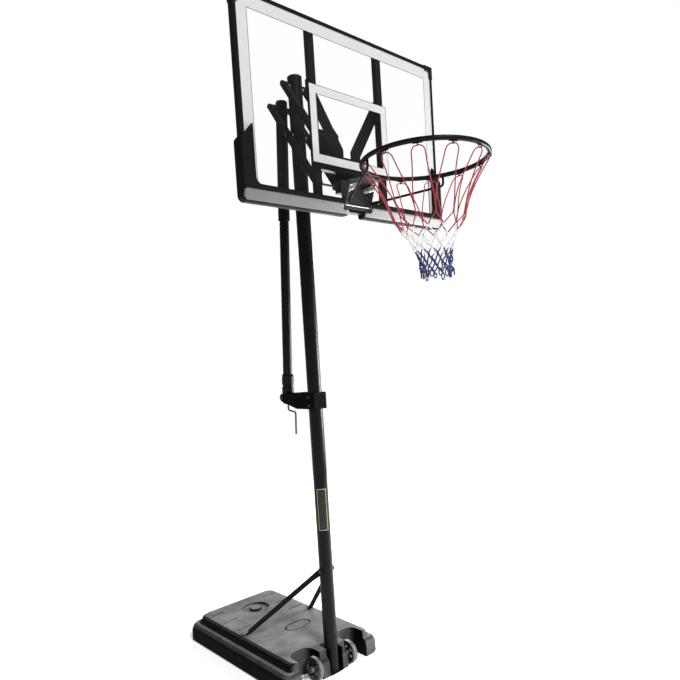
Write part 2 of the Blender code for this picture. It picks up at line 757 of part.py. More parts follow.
def make_frame(body, look):
    """Four mitred aluminium bars with a groove for the board and a hollow back."""
    lip, groove = FRAME_LIP, FRAME_LIP + PANEL_T + 2 * GAP
    section = [(0, 0), (FRAME_WIDTH, 0), (FRAME_WIDTH, lip), (lip, lip), (lip, groove),
               (FRAME_WIDTH, groove), (FRAME_WIDTH, FRAME_DEPTH), (0, FRAME_DEPTH)]
    middle_z = (BOARD_Z0 + BOARD_Z1) / 2
    bars = (("frame_bottom", BOARD_X, -1, False), ("frame_top", BOARD_X, 1, False),
            ("frame_left", BOARD_H / 2, -1, True), ("frame_right", BOARD_H / 2, 1, True))
    mitre = GAP * 0.75
    for name, half, side, upright in bars:
        rows = []
        for end in (-1, 1):
            row = []
            for inward, depth in section:
                s = end * (half - inward - mitre)
                if upright:
                    point = (side * (BOARD_X - inward), BOARD_FACE + depth, middle_z + s)
                else:
                    point = (s, BOARD_FACE + depth, middle_z + side * (BOARD_H / 2 - inward))
                row.append(point)
            rows.append(row)
        bar = add_piece(name, loft_mesh(rows), look, body)
        near, far = FRAME_WALL, FRAME_WIDTH - FRAME_WALL
        front, back = BOARD_FACE + groove + FRAME_WALL, FRAME_BACK - FRAME_WALL
        if upright:
            xs = sorted((side * (BOARD_X - near), side * (BOARD_X - far)))
            low = (xs[0], front, BOARD_Z0 - 0.01)
            high = (xs[1], back, BOARD_Z1 + 0.01)
        else:
            zs = sorted((middle_z + side * (BOARD_H / 2 - near), middle_z + side * (BOARD_H / 2 - far)))
            low = (-BOARD_X - 0.01, front, zs[0])
            high = (BOARD_X + 0.01, back, zs[1])
        cut(bar, [add_piece("bore", box_mesh(low, high), None, body)])


def make_panel(body, look):
    edge = FRAME_LIP + GAP
    low = (-BOARD_X + edge, PANEL_FRONT, BOARD_Z0 + edge)
    high = (BOARD_X - edge, PANEL_BACK, BOARD_Z1 - edge)
    panel = add_piece("board_panel", box_mesh(low, high), look, body)
    holes = []
    for side in (-1, 1):
        spot = (side * SPRING_X, PANEL_FRONT, SPRING_Z)
        holes.append(add_piece("hole", cylinder_mesh(SPRING_BOLT_R + BOLT_GAP, -0.02, 0.02), None,
                               body, spot, (0, 1, 0)))
    cut(panel, holes)


def make_stiles(body, look):
    low_z = BOARD_Z0 + FRAME_WIDTH + GAP
    high_z = BOARD_Z1 - FRAME_WIDTH - GAP
    for name, side in (("stile_left", -1), ("stile_right", 1)):
        low = (side * STILE_X - STILE_W / 2, STILE_FRONT, low_z)
        high = (side * STILE_X + STILE_W / 2, STILE_BACK, high_z)
        square_tube(name, low, high, "Z", TUBE_WALL, look, body)
    reach = STILE_X - STILE_W / 2 - GAP
    low = (-reach, STILE_FRONT, RAIL_Z - RAIL_H / 2)
    high = (reach, STILE_BACK, RAIL_Z + RAIL_H / 2)
    square_tube("stile_rail", low, high, "X", TUBE_WALL, look, body)


def make_brace(name, side, body, look):
    """A flat bar that leans out from above the rim mount to the stile's upper part."""
    half = BRACE_W / 2
    lean = math.radians(BRACE_LEAN)
    along = Vector((math.sin(lean), math.cos(lean)))
    across = Vector((math.cos(lean), -math.sin(lean)))
    bend = Vector((BRACE_FOOT_X, BRACE_BEND_Z))
    top = bend + along * ((BRACE_TOP_Z - BRACE_BEND_Z) / math.cos(lean))
    miter = half * math.tan(lean / 2)
    outline = [(BRACE_FOOT_X - half, BRACE_FOOT_Z), (BRACE_FOOT_X + half, BRACE_FOOT_Z),
               (BRACE_FOOT_X + half, BRACE_BEND_Z - miter)]
    degrees = math.degrees(math.atan2(across.y, across.x))
    outline += arc(top, half, degrees, degrees + 180, 8)
    outline.append((BRACE_FOOT_X - half, BRACE_BEND_Z + miter))
    outline = [(side * u, v) for u, v in outline]
    return add_piece(name, prism_mesh(outline, BRACE_FRONT, BRACE_BACK, "Y"), look, body)


def make_channel(body, look):
    """The folded channel behind the board that the rim's bolts pull against."""
    w = CHANNEL_WALL
    z0, z1 = CHANNEL_Z0, CHANNEL_Z1
    outline = [(STILE_FRONT, z0), (STILE_BACK, z0), (STILE_BACK, z1), (STILE_FRONT, z1),
               (STILE_FRONT, z1 - w), (STILE_BACK - w, z1 - w), (STILE_BACK - w, z0 + w),
               (STILE_FRONT, z0 + w)]
    bm = prism_mesh(outline, -CHANNEL_HALF_W, CHANNEL_HALF_W, "X")
    channel = add_piece("rim_channel", bm, look, body)
    holes = []
    for side in (-1, 1):
        spot = (side * SPRING_X, STILE_BACK, SPRING_Z)
        holes.append(add_piece("hole", cylinder_mesh(SPRING_BOLT_R + BOLT_GAP, -0.02, 0.02), None,
                               body, spot, (0, 1, 0)))
    cut(channel, holes)


def make_carrier(body, look):
    """A folded bracket: an upright link between the arms' front pivots and a foot to the braces."""
    lobe, link = CARRIER_LOBE, CARRIER_LINK
    outer = ARM_IN - GAP
    link_front = FRONT_LOW.y - link
    outline = [(CARRIER_FRONT, CARRIER_Z0), (CARRIER_FRONT + 0.015, CARRIER_ARM_LOW - 0.010),
               (link_front - 0.020, CARRIER_ARM_LOW), (link_front, CARRIER_ARM_LOW - 0.012)]
    outline += arc((FRONT_LOW.y, FRONT_LOW.z), lobe, 147, 393, 12)
    outline += arc((FRONT_UP.y, FRONT_UP.z), lobe, -33, 213, 12)
    outline += [(link_front, CARRIER_ARM_HIGH + 0.022), (link_front - 0.020, CARRIER_ARM_HIGH),
                (CARRIER_FRONT, CARRIER_Z1)]
    piece = add_piece("board_carrier", prism_mesh(outline, -outer, outer, "X"), look, body)
    inner = outer - CHEEK_T
    back = FRONT_UP.y + 0.1
    shelf = CARRIER_ARM_HIGH - CHEEK_T
    tools = [add_piece("inside", box_mesh((-inner, CARRIER_FRONT + CHEEK_T, CARRIER_Z0 - 0.2),
                                          (inner, back, shelf)), None, body),
             add_piece("inside", box_mesh((-inner, link_front + CHEEK_T, shelf - 0.01),
                                          (inner, back, FRONT_UP.z + 0.1)), None, body)]
    for point in (FRONT_UP, FRONT_LOW):
        tools.append(cross_hole(body, PIVOT_BOLT_R + BOLT_GAP, point.y, point.z, 0.09))
    cut(piece, tools)


def make_pad(name, side, body, look):
    """An L-shaped edge pad that wraps the lower corner of the frame."""
    out = BOARD_X + PAD_OUT
    low = BOARD_Z0 - PAD_UNDER
    rise = BOARD_Z0 + PAD_RISE
    inside = BOARD_X - PAD_SIDE_IN
    outline = [(PAD_END_X, low), (out - PAD_CHAMFER, low), (out, low + PAD_CHAMFER),
               (out, BOARD_Z0 + PAD_TOP_OUT), (inside, BOARD_Z0 + PAD_TOP_IN),
               (inside, rise + PAD_CORNER), (inside - PAD_CORNER, rise), (PAD_END_X, rise)]
    outline = [(side * u, v) for u, v in outline]
    front = BOARD_FACE - GAP - PAD_WALL
    back_in = STILE_BACK + GAP
    back = back_in + PAD_BACK_WALL
    pad = add_piece(name, prism_mesh(outline, front, back, "Y"), look, body)
    facet = [(front - PAD_FACET_DEPTH, low + 2 * PAD_FACET_RISE),
             (front - PAD_FACET_DEPTH, low - PAD_FACET_RISE),
             (front + 2 * PAD_FACET_DEPTH, low - PAD_FACET_RISE)]
    cut(pad, [add_piece("facet", prism_mesh(facet, -BOARD_W, BOARD_W, "X"), None, body)])
    bevel = pad.modifiers.new("edges", "BEVEL")
    bevel.width = PAD_EDGE
    bevel.segments = 2
    bevel.limit_method = "ANGLE"
    settle(pad)

    def span(a, b):
        return min(side * a, side * b), max(side * a, side * b)

    above = BOARD_Z0 + BOARD_H
    x0, x1 = span(-0.02, BOARD_X + GAP)
    seat = add_piece("seat", box_mesh((x0, BOARD_FACE - GAP, BOARD_Z0 - GAP), (x1, back_in, above)),
                     None, body)
    x0, x1 = span(-0.02, BOARD_X - PAD_BACK_RISE)
    rear = add_piece("rear", box_mesh((x0, BOARD_FACE, BOARD_Z0 + PAD_BACK_RISE),
                                      (x1, back + 0.02, above)), None, body)
    x0, x1 = span(-0.02, MOUNT_HALF_W + 0.004)
    notch = add_piece("notch", box_mesh((x0, front - 0.02, MOUNT_Z0 - 0.005),
                                        (x1, back + 0.02, above)), None, body)
    cut(pad, [seat, rear, notch])


def make_corner(name, side, body, look):
    """A moulded corner that caps the upper frame corner in front, outside and behind."""
    w = CORNER_WALL

    def span(a, b):
        return min(side * a, side * b), max(side * a, side * b)

    x0, x1 = span(BOARD_X - CORNER_LEG, BOARD_X + w)
    low = (x0, BOARD_FACE - w, BOARD_Z1 - CORNER_LEG)
    high = (x1, FRAME_BACK + w, BOARD_Z1 + w)
    corner = add_piece(name, box_mesh(low, high), look, body)
    x0, x1 = span(BOARD_X - CORNER_LEG - 0.01, BOARD_X + GAP)
    bar = add_piece("bar", box_mesh((x0, BOARD_FACE - GAP, BOARD_Z1 - CORNER_LEG - 0.01),
                                    (x1, FRAME_BACK + GAP, BOARD_Z1 + GAP)), None, body)
    x0, x1 = span(BOARD_X - CORNER_LEG - 0.01, BOARD_X - CORNER_COVER)
    open_in = add_piece("open", box_mesh((x0, BOARD_FACE - 0.02, BOARD_Z1 - CORNER_LEG - 0.01),
                                         (x1, FRAME_BACK + 0.02, BOARD_Z1 - CORNER_COVER)),
                        None, body)
    cut(corner, [bar, open_in])


def make_rim_mount(body, look, bolt_look):
    """The plate in front of the board, its two hinge ears, the hinge pin and the spring bolts."""
    half = MOUNT_HALF_W
    low = (-half, MOUNT_FRONT, MOUNT_Z0)
    high = (half, MOUNT_BACK, MOUNT_Z1)
    plate = add_piece("rim_mount_plate", box_mesh(low, high), look, body)
    ear_in = FLANGE_OUT + GAP
    ears = []
    for side in (-1, 1):
        x0, x1 = sorted((side * ear_in, side * half))
        pin = (RIM_PIN_Y, RIM_PIN_Z)
        outline = [(MOUNT_BACK - 0.001, RIM_PIN_Z - EAR_LOBE)]
        outline += list(reversed(arc(pin, EAR_LOBE, 100, 270, 8)))
        outline += [(MOUNT_BACK - 0.001, RIM_PIN_Z + 0.022)]
        ears.append(add_piece("ear", prism_mesh(outline, x0, x1, "X"), None, body))
    join(plate, ears)
    tools = [cross_hole(body, RIM_PIN_R + BOLT_GAP, RIM_PIN_Y, RIM_PIN_Z, 0.12)]
    for side in (-1, 1):
        spot = (side * SPRING_X, MOUNT_BACK, SPRING_Z)
        tools.append(add_piece("hole", cylinder_mesh(SPRING_BOLT_R + BOLT_GAP, -0.02, 0.02), None,
                               body, spot, (0, 1, 0)))
    cut(plate, tools)
    seat = half + GAP
    cross_bolt("rim_hinge_pin", RIM_PIN_R, 0.005, 0.002, seat, RIM_PIN_Y, RIM_PIN_Z, bolt_look, body)
    for name, side in (("spring_bolt_left", -1), ("spring_bolt_right", 1)):
        spring_end = -(NECK_FRONT - GAP - SPRING_LEN)
        nut = -(STILE_BACK + GAP)
        profile = [(0, nut - 0.0065), (0.007, nut - 0.0065), (0.007, nut), (SPRING_BOLT_R, nut),
                   (SPRING_BOLT_R, spring_end + GAP), (0.0105, spring_end + GAP),
                   (0.0105, spring_end + 0.002), (0.0065, spring_end + 0.002),
                   (0.0065, spring_end + 0.006), (0, spring_end + 0.006)]
        add_piece(name, turned_mesh(profile, BOLT_SIDES), bolt_look, body,
                  (side * SPRING_X, 0, SPRING_Z), (0, -1, 0))


def make_rim_bracket(body, look):
    """Neck plate, top plate and two side flanges, folded and welded into one bracket."""
    plate_z = RIM_HEIGHT + TOP_PLATE_RISE
    outer = FLANGE_OUT
    neck = add_piece("rim_bracket", box_mesh((-outer, NECK_FRONT, RIM_PIN_Z),
                                             (outer, NECK_BACK, plate_z + PLATE_T)), look, body)
    reach = RING_R + RING_BAR_R * math.cos(math.pi / RING_SIDES) + GAP
    edge = []
    spread = math.degrees(math.asin(NECK_TOP_HALF_W / reach))
    edge += arc((0, RING_Y), reach, 90 - spread, 90 + spread, 8)
    outline = [(-outer, NECK_BACK - 0.001), (outer, NECK_BACK - 0.001)] + edge
    parts = [add_piece("top", prism_mesh(outline, plate_z, plate_z + PLATE_T, "Z"), None, body)]
    pin = (RIM_PIN_Y, RIM_PIN_Z)
    for side in (-1, 1):
        x0, x1 = sorted((side * (outer - FLANGE_T), side * outer))
        fold = [(NECK_BACK - 0.0005, plate_z + 0.001), (NECK_BACK - 0.0005, RIM_PIN_Z + 0.001)]
        fold += list(reversed(arc(pin, FLANGE_LOBE, 180, 360, 8)))
        fold += [(NECK_FRONT - FLANGE_REACH, plate_z + 0.001)]
        parts.append(add_piece("flange", prism_mesh(fold, x0, x1, "X"), None, body))
    join(neck, parts)
    tools = [cross_hole(body, RIM_PIN_R + BOLT_GAP, RIM_PIN_Y, RIM_PIN_Z, 0.12)]
    slot_half = SPRING_BOLT_R + 0.0006
    for side in (-1, 1):
        slot = arc((side * SPRING_X, SPRING_Z), slot_half, 180, 360, 8)
        slot += arc((side * SPRING_X, SPRING_Z + 0.005), slot_half, 0, 180, 8)
        tools.append(add_piece("slot", prism_mesh(slot, NECK_FRONT - 0.01, NECK_BACK + 0.01, "Y"),
                               None, body))
    cut(neck, tools)


def make_ring(body, look):
    """The hoop with its net hooks and the two rods that run back to the bracket."""
    circle = []
    for k in range(RING_STEPS):
        turn = 2 * math.pi * k / RING_STEPS
        circle.append((RING_R * math.cos(turn), RING_Y + RING_R * math.sin(turn), RIM_HEIGHT))
    ring = add_piece("rim_ring", rod_mesh(circle, RING_BAR_R, RING_SIDES, closed=True), look, body)
    parts = []
    for k in range(HOOK_COUNT):
        turn = math.radians(90 + 360 * k / HOOK_COUNT)
        outward = Vector((math.cos(turn), math.sin(turn), 0))
        centre = Vector((0, RING_Y, hook_centre_z())) + outward * RING_R
        loop = []
        for s in range(HOOK_STEPS):
            around = 2 * math.pi * s / HOOK_STEPS
            loop.append(centre + outward * (HOOK_R * math.cos(around)) + Z_AXIS * (HOOK_R * math.sin(around)))
        parts.append(add_piece("hook", rod_mesh(loop, HOOK_WIRE_R, 5, closed=True), None, body))
    for side in (-1, 1):
        turn = math.radians(90 - side * ROD_ANGLE)
        at_ring = Vector((RING_R * math.cos(turn), RING_Y + RING_R * math.sin(turn),
                          RIM_HEIGHT - RING_BAR_R))
        foot = Vector((side * (FLANGE_OUT - FLANGE_T - 2 * GAP - ROD_R), NECK_FRONT - 0.020,
                       RIM_PIN_Z + 0.014))
        parts.append(add_piece("rod", rod_mesh([foot, at_ring], ROD_R, 8), None, body))
    join(ring, parts)


def hook_centre_z():
    return RIM_HEIGHT - RING_BAR_R - (HOOK_R - HOOK_WIRE_R)


def net_levels():
    """Radius, height and half-height of the knots of each row, from the hooks down."""
    top = hook_centre_z() - HOOK_R + HOOK_WIRE_R + NET_SEAT
    levels = [(RING_R, top)]
    for row in range(NET_ROWS):
        down = row / (NET_ROWS - 1)
        radius = NET_R_END + (NET_R_TOP - NET_R_END) * (1 - down) ** NET_NARROWING
        levels.append((radius, RIM_HEIGHT - NET_DROP - NET_TAIL * down ** NET_CROWDING))
    return levels


def make_net(body, look):
    """Knots and strands as one flat lattice on the net's bell, thickened to the cord's size."""
    bm = bmesh.new()
    levels = net_levels()
    step = 2 * math.pi / HOOK_COUNT
    knots = []
    for row, (radius, z) in enumerate(levels):
        offset = math.pi / 2 + (row % 2) * step / 2
        ring = []
        for k in range(HOOK_COUNT):
            turn = offset + k * step

            def spot(sideways, up):
                angle = turn + sideways / radius
                return bm.verts.new((radius * math.cos(angle), RING_Y + radius * math.sin(angle), z + up))

            if row == 0:
                low, high = 0.0, NET_CORD
                ring.append({"left": (spot(-NET_EYE_OUT, low), spot(-NET_EYE, low)),
                             "right": (spot(NET_EYE, low), spot(NET_EYE_OUT, low)),
                             "top": (spot(NET_EYE_OUT, high), spot(-NET_EYE_OUT, high))})
            else:
                half = NET_KNOT
                ring.append({"L": spot(-half, 0), "R": spot(half, 0),
                             "U": spot(0, half), "D": spot(0, -half)})
        knots.append(ring)
    for row, ring in enumerate(knots):
        for k, knot in enumerate(ring):
            if row == 0:
                a, b = knot["left"]
                c, d = knot["right"]
                e, f = knot["top"]
                bm.faces.new((a, b, c, d, e, f))
            else:
                bm.faces.new((knot["L"], knot["D"], knot["R"], knot["U"]))
            if row == len(knots) - 1:
                continue
            below = knots[row + 1]
            right = below[k if row % 2 == 0 else (k + 1) % HOOK_COUNT]
            left = below[(k - 1) % HOOK_COUNT if row % 2 == 0 else k]
            if row == 0:
                bm.faces.new((knot["right"][0], right["L"], right["U"], knot["right"][1]))
                bm.faces.new((knot["left"][0], left["U"], left["R"], knot["left"][1]))
            else:
                bm.faces.new((knot["D"], right["L"], right["U"], knot["R"]))
                bm.faces.new((knot["L"], left["U"], left["R"], knot["D"]))
    bmesh.ops.recalc_face_normals(bm, faces=bm.faces[:])
    net = add_piece("net", bm, look, body)
    thick = net.modifiers.new("cord", "SOLIDIFY")
    thick.thickness = NET_CORD
    thick.offset = 0.0
    settle(net)


def make_springs(body, look):
    """One unbroken tube per spring, wound round the bolts between the neck and the washers."""
    start = NECK_FRONT - GAP - SPRING_WIRE_R
    length = SPRING_LEN - 2 * SPRING_WIRE_R - 2 * GAP
    per_curl = 8
    count = SPRING_CURLS * per_curl
    least = 1.0
    for name, side in (("spring_left", -1), ("spring_right", 1)):
        path = []
        for k in range(count + 1):
            share = k / count
            closed_turn = 1.0 / SPRING_CURLS
            tight = 2.2 * SPRING_WIRE_R * 1.2 / length
            if share < closed_turn:
                rise = tight * share / closed_turn
            elif share > 1 - closed_turn:
                rise = 1 - tight * (1 - share) / closed_turn
            else:
                rise = tight + (1 - 2 * tight) * (share - closed_turn) / (1 - 2 * closed_turn)
            turn = 2 * math.pi * SPRING_CURLS * share
            path.append((side * SPRING_X + SPRING_MEAN_R * math.cos(turn), start - rise * length,
                         SPRING_Z + SPRING_MEAN_R * math.sin(turn)))
        add_piece(name, rod_mesh(path, SPRING_WIRE_R, 6), look, body)
        points = np.array(path)
        for k in range(count + 1 - per_curl // 2):
            gaps = np.linalg.norm(points[k + per_curl // 2:] - points[k], axis=1)
            least = min(least, gaps.min() - 2 * SPRING_WIRE_R)
    print("spring least self gap %.2f mm" % (least * 1000))


def make_jack(lower_body, upper_body, screw_body, crank_body, looks):
    """Gear housing with its tube, the tube and nut that slide over it, the screw and the crank."""
    bushing = INNER_TUBE_R + GAP
    profile = [(0, -0.034), (0.020, -0.034), (0.027, -0.028), (HOUSING_R, -0.018), (HOUSING_R, 0.050),
               (0.0265, 0.054), (0.0265, 0.060), (HOUSING_R, 0.064), (HOUSING_R, 0.104),
               (0.026, 0.116), (INNER_TUBE_R, 0.118), (INNER_TUBE_R, INNER_TUBE_END),
               (INNER_TUBE_R - INNER_TUBE_WALL, INNER_TUBE_END),
               (INNER_TUBE_R - INNER_TUBE_WALL, SCREW_START), (0, SCREW_START)]
    lower = add_piece("jack_lower_tube", turned_mesh(profile, JACK_SIDES), looks["steel"], lower_body,
                      JACK_BASE, JACK_DIR)
    washer = cylinder_mesh(HOUSING_BOSS_R, -POLE_R, POLE_R)
    join(lower, [add_piece("boss", washer, None, lower_body, JACK_BASE, X_AXIS)])
    socket = cylinder_mesh(CRANK_R + BOLT_GAP, -0.05, -SOCKET_START, 12)
    cut(lower, [cross_hole(lower_body, PIVOT_BOLT_R + BOLT_GAP, JACK_BASE.y, JACK_BASE.z, 0.06),
                add_piece("socket", socket, None, lower_body, JACK_BASE, JACK_DIR)])

    inner = OUTER_TUBE_R - OUTER_TUBE_WALL
    top = JACK_LEN + OUTER_TUBE_TAIL
    start = OUTER_TUBE_START
    profile = [(bushing, start), (OUTER_TUBE_R - 0.001, start), (OUTER_TUBE_R, start + 0.001),
               (OUTER_TUBE_R, top - 0.004), (OUTER_TUBE_R - 0.004, top), (0, top),
               (0, top - 0.003), (inner, top - 0.005), (inner, start + 0.030), (bushing, start + 0.026)]
    outer = add_piece("jack_upper_tube", turned_mesh(profile, JACK_SIDES, ring=True), looks["steel"],
                      upper_body, JACK_BASE, JACK_DIR)
    reach = ARM_IN - GAP
    sleeve = cylinder_mesh(SLEEVE_R, -reach, reach, 16)
    nut_bore = SCREW_R + SCREW_PLAY
    push_in = PUSH_TUBE_R - PUSH_TUBE_WALL
    push_top = JACK_LEN - SLEEVE_R / 2
    push_roof = JACK_LEN - SLEEVE_R - PUSH_TUBE_WALL
    profile = [(nut_bore, NUT_START), (PUSH_TUBE_R, NUT_START), (PUSH_TUBE_R, push_top), (0, push_top),
               (0, push_roof), (push_in, push_roof), (push_in, NUT_START + NUT_T),
               (nut_bore, NUT_START + NUT_T)]
    push = turned_mesh(profile, JACK_SIDES, ring=True)
    join(outer, [add_piece("sleeve", sleeve, None, upper_body, REAR_PIVOT, X_AXIS),
                 add_piece("push_tube", push, None, upper_body, JACK_BASE, JACK_DIR)])
    cut(outer, [cross_hole(upper_body, PIVOT_BOLT_R + BOLT_GAP, REAR_PIVOT.y, REAR_PIVOT.z, 0.06)])
    screw = [(0, SCREW_START + GAP), (SCREW_R, SCREW_START + GAP), (SCREW_R, SCREW_END - 0.003),
             (SCREW_R - 0.002, SCREW_END), (0, SCREW_END)]
    add_piece("jack_screw", turned_mesh(screw, JACK_SIDES), looks["zinc"], screw_body, JACK_BASE, JACK_DIR)

    shaft_top = JACK_BASE - JACK_DIR * (SOCKET_START + GAP)
    elbow = JACK_BASE - JACK_DIR * CRANK_DROP
    out = Vector((0, -CRANK_THROW, -0.008))
    knee = elbow + out
    bend = CRANK_BEND
    handle = knee + Vector((0, 0.008, -CRANK_HANDLE))
    down = (elbow - shaft_top).normalized()
    sweep = out.normalized()
    drop = (handle - knee).normalized()
    path = [shaft_top, elbow - down * bend, elbow - down * bend * 0.3 + sweep * bend * 0.3,
            elbow + sweep * bend, knee - sweep * bend, knee - sweep * bend * 0.3 + drop * bend * 0.3,
            knee + drop * bend, handle]
    add_piece("crank", rod_mesh(path, CRANK_R, 10), looks["zinc"], crank_body)


def make_jack_bracket(body, look, bolt_look):
    """A folded strap round the front of the pole whose two cheeks carry the jack's foot."""
    inner = POLE_R + GAP
    outer = inner + JACK_PLATE_T
    tip = (JACK_BASE_Y, JACK_BASE_Z)
    low = JACK_BASE_Z - JACK_PLATE_LOW
    high = JACK_BASE_Z + JACK_PLATE_HIGH
    outline = [(-outer, low), (0.100, low)]
    outline += arc(tip, JACK_PLATE_END_R, -70, 70, 8)
    outline += [(0.090, high), (-outer, high)]
    bracket = add_piece("jack_bracket", prism_mesh(outline, -outer, outer, "X"), look, body)
    inside = box_mesh((-inner, -inner, low - 0.1), (inner, JACK_BASE_Y + 0.1, high + 0.1))
    tools = [add_piece("inside", inside, None, body),
             cross_hole(body, PIVOT_BOLT_R + BOLT_GAP, JACK_BASE_Y, JACK_BASE_Z, 0.06)]
    for z in JACK_PLATE_BOLTS:
        tools.append(cross_hole(body, JACK_PLATE_BOLT_R + BOLT_GAP, 0, z, 0.06))
    cut(bracket, tools)
    seat = outer + GAP
    for name, z in zip(("jack_bracket_bolt_upper", "jack_bracket_bolt_lower"), JACK_PLATE_BOLTS):
        cross_bolt(name, JACK_PLATE_BOLT_R, 0.0075, 0.005, seat, 0, z, bolt_look, body)
    cross_bolt("jack_pivot_bolt", PIVOT_BOLT_R, PIVOT_HEAD_R, 0.005, seat, JACK_BASE_Y, JACK_BASE_Z,
               bolt_look, body)


def make_cap(body, look):
    """Screw cap of the tank's filling hole, with a knurled edge."""
    deck = TANK_H - CAP_RECESS
    neck = CAP_NECK_R
    seat = deck + GAP
    top = seat + CAP_FLANGE
    profile = [(0, deck - CAP_NECK), (neck, deck - CAP_NECK), (neck, seat), (CAP_R, seat),
               (CAP_R, top - 0.003), (CAP_R - 0.003, top), (0, top)]
    cap = add_piece("fill_cap", turned_mesh(profile, ROUND), look, body, (CAP_X, CAP_Y, 0))
    tools = []
    for k in range(CAP_KNURLS):
        turn = 2 * math.pi * k / CAP_KNURLS
        spot = (CAP_X + (CAP_R + 0.001) * math.cos(turn), CAP_Y + (CAP_R + 0.001) * math.sin(turn), 0)
        tools.append(add_piece("knurl", cylinder_mesh(0.0028, seat - 0.01, seat + 0.03, 6), None, body,
                               spot))
    cut(cap, tools)


def main():
    clear_scene()
    steel = finish("black_steel", (0.030, 0.030, 0.032), 0.42, 0.30)
    satin = finish("satin_black_steel", (0.045, 0.045, 0.048), 0.35, 0.40)
    zinc = finish("zinc_bolts", (0.55, 0.56, 0.58), 0.35, 1.0)
    spring = finish("spring_steel", (0.72, 0.72, 0.74), 0.25, 1.0)
    tank = finish("tank_plastic", (0.028, 0.028, 0.029), 0.55)
    plastic = finish("black_plastic", (0.022, 0.022, 0.024), 0.60)
    wheel = finish("wheel_plastic", (0.030, 0.030, 0.030), 0.75)
    frame = finish("frame_black", (0.035, 0.035, 0.038), 0.38, 0.20)
    acrylic = finish("clear_acrylic", (0.93, 0.95, 0.96), 0.05, 0.0, 0.25)
    foam = finish("pad_foam", (0.025, 0.025, 0.027), 0.70)
    cord = finish("net_cord", (0.70, 0.10, 0.14), 0.85)

    stand = empty_at("stand", (0, POLE_Y, 0))
    base = body_at(stand, "base_body", (0, 0, 0))
    cap_body = body_at(stand, "fill_cap_slide", (CAP_X, CAP_Y, TANK_H))
    wheels = [body_at(stand, "wheel_left_axis", (-WHEEL_X, 0, AXLE_Z)),
              body_at(stand, "wheel_right_axis", (WHEEL_X, 0, AXLE_Z))]
    low_arms = body_at(stand, "lower_arm_axis", PIVOT_LOW)
    up_arms = body_at(stand, "upper_arm_axis", PIVOT_UP)
    board = body_at(stand, "board_axis", FRONT_LOW)
    rim = body_at(stand, "rim_axis", (0, RIM_PIN_Y, RIM_PIN_Z))
    jack_low = body_at(stand, "jack_lower_axis", JACK_BASE)
    jack_up = body_at(stand, "jack_upper_slide", REAR_PIVOT)
    screw = body_at(stand, "screw_axis", JACK_BASE)
    crank = body_at(stand, "crank_axis", JACK_BASE)

    make_tank(base, tank)
    make_foot_bracket(base, steel)
    make_axle(base, zinc)
    make_pole(base, satin, plastic)
    for name, side in (("strut_left", -1), ("strut_right", 1)):
        make_strut(name, side, base, steel)
    strut_seat = POLE_R + GAP + STRUT_FLAT + GAP
    cross_bolt("strut_bolt", STRUT_BOLT_R, 0.009, 0.006, strut_seat, 0, STRUT_TOP_Z, zinc, base)
    make_jack_bracket(base, steel, zinc)
    pivot_seat = ARM_OUT + GAP
    for name, z in (("pivot_bolt_upper", PIVOT_UP_Z), ("pivot_bolt_lower", PIVOT_LOW_Z)):
        cross_bolt(name, PIVOT_BOLT_R, PIVOT_HEAD_R, PIVOT_HEAD_T, pivot_seat, 0, z, zinc, base)
    for level, z in (("upper", PIVOT_UP_Z), ("lower", PIVOT_LOW_Z)):
        for name, side in (("left", -1), ("right", 1)):
            ring = tube_mesh(SPACER_R, PIVOT_BOLT_R + BOLT_GAP, POLE_R + GAP, ARM_IN - GAP, BOLT_SIDES)
            add_piece("spacer_%s_%s" % (level, name), ring, zinc, base, (0, 0, z), X_AXIS * side)
    make_cap(cap_body, plastic)
    for name, side, body in zip(("wheel_left", "wheel_right"), (-1, 1), wheels):
        make_wheel(name, side, body, wheel)

    nose = ARM_SIZE * 0.6
    for name, side in (("left", -1), ("right", 1)):
        make_arm("lower_arm_" + name, side, REAR_PIVOT, FRONT_LOW, nose, nose,
                 (REAR_PIVOT, PIVOT_LOW, FRONT_LOW), low_arms, satin)
        make_half_pin("rear_pin_" + name, side, REAR_PIVOT, low_arms, zinc)
        make_arm("upper_arm_" + name, side, PIVOT_UP, FRONT_UP, UPPER_TAIL, nose,
                 (PIVOT_UP, FRONT_UP), up_arms, satin)

    make_frame(board, frame)
    make_panel(board, acrylic)
    make_stiles(board, steel)
    make_channel(board, steel)
    make_carrier(board, steel)
    for name, point in (("front_pin_upper", FRONT_UP), ("front_pin_lower", FRONT_LOW)):
        cross_bolt(name, PIVOT_BOLT_R, PIVOT_HEAD_R, PIVOT_HEAD_T, pivot_seat, point.y, point.z,
                   zinc, board)
    for name, side in (("left", -1), ("right", 1)):
        make_brace("brace_" + name, side, board, steel)
        make_pad("edge_pad_" + name, side, board, foam)
        make_corner("corner_cap_" + name, side, board, plastic)
    make_rim_mount(board, steel, zinc)

    make_rim_bracket(rim, steel)
    make_ring(rim, steel)
    make_springs(rim, spring)
    make_net(rim, cord)
    make_jack(jack_low, jack_up, screw, crank, {"steel": satin, "zinc": zinc})
    bpy.context.view_layer.update()


main()
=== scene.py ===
"""Looks of the portable basketball stand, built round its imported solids.

Lengths are in metres. The floor is Z = 0, the board faces -Y and the pole stands on X = 0.
"""

import json
import logging
import math
from dataclasses import dataclass, field
from enum import Enum
from typing import Iterable, Sequence

import bmesh
import bpy
import numpy as np
from mathutils import Matrix, Vector


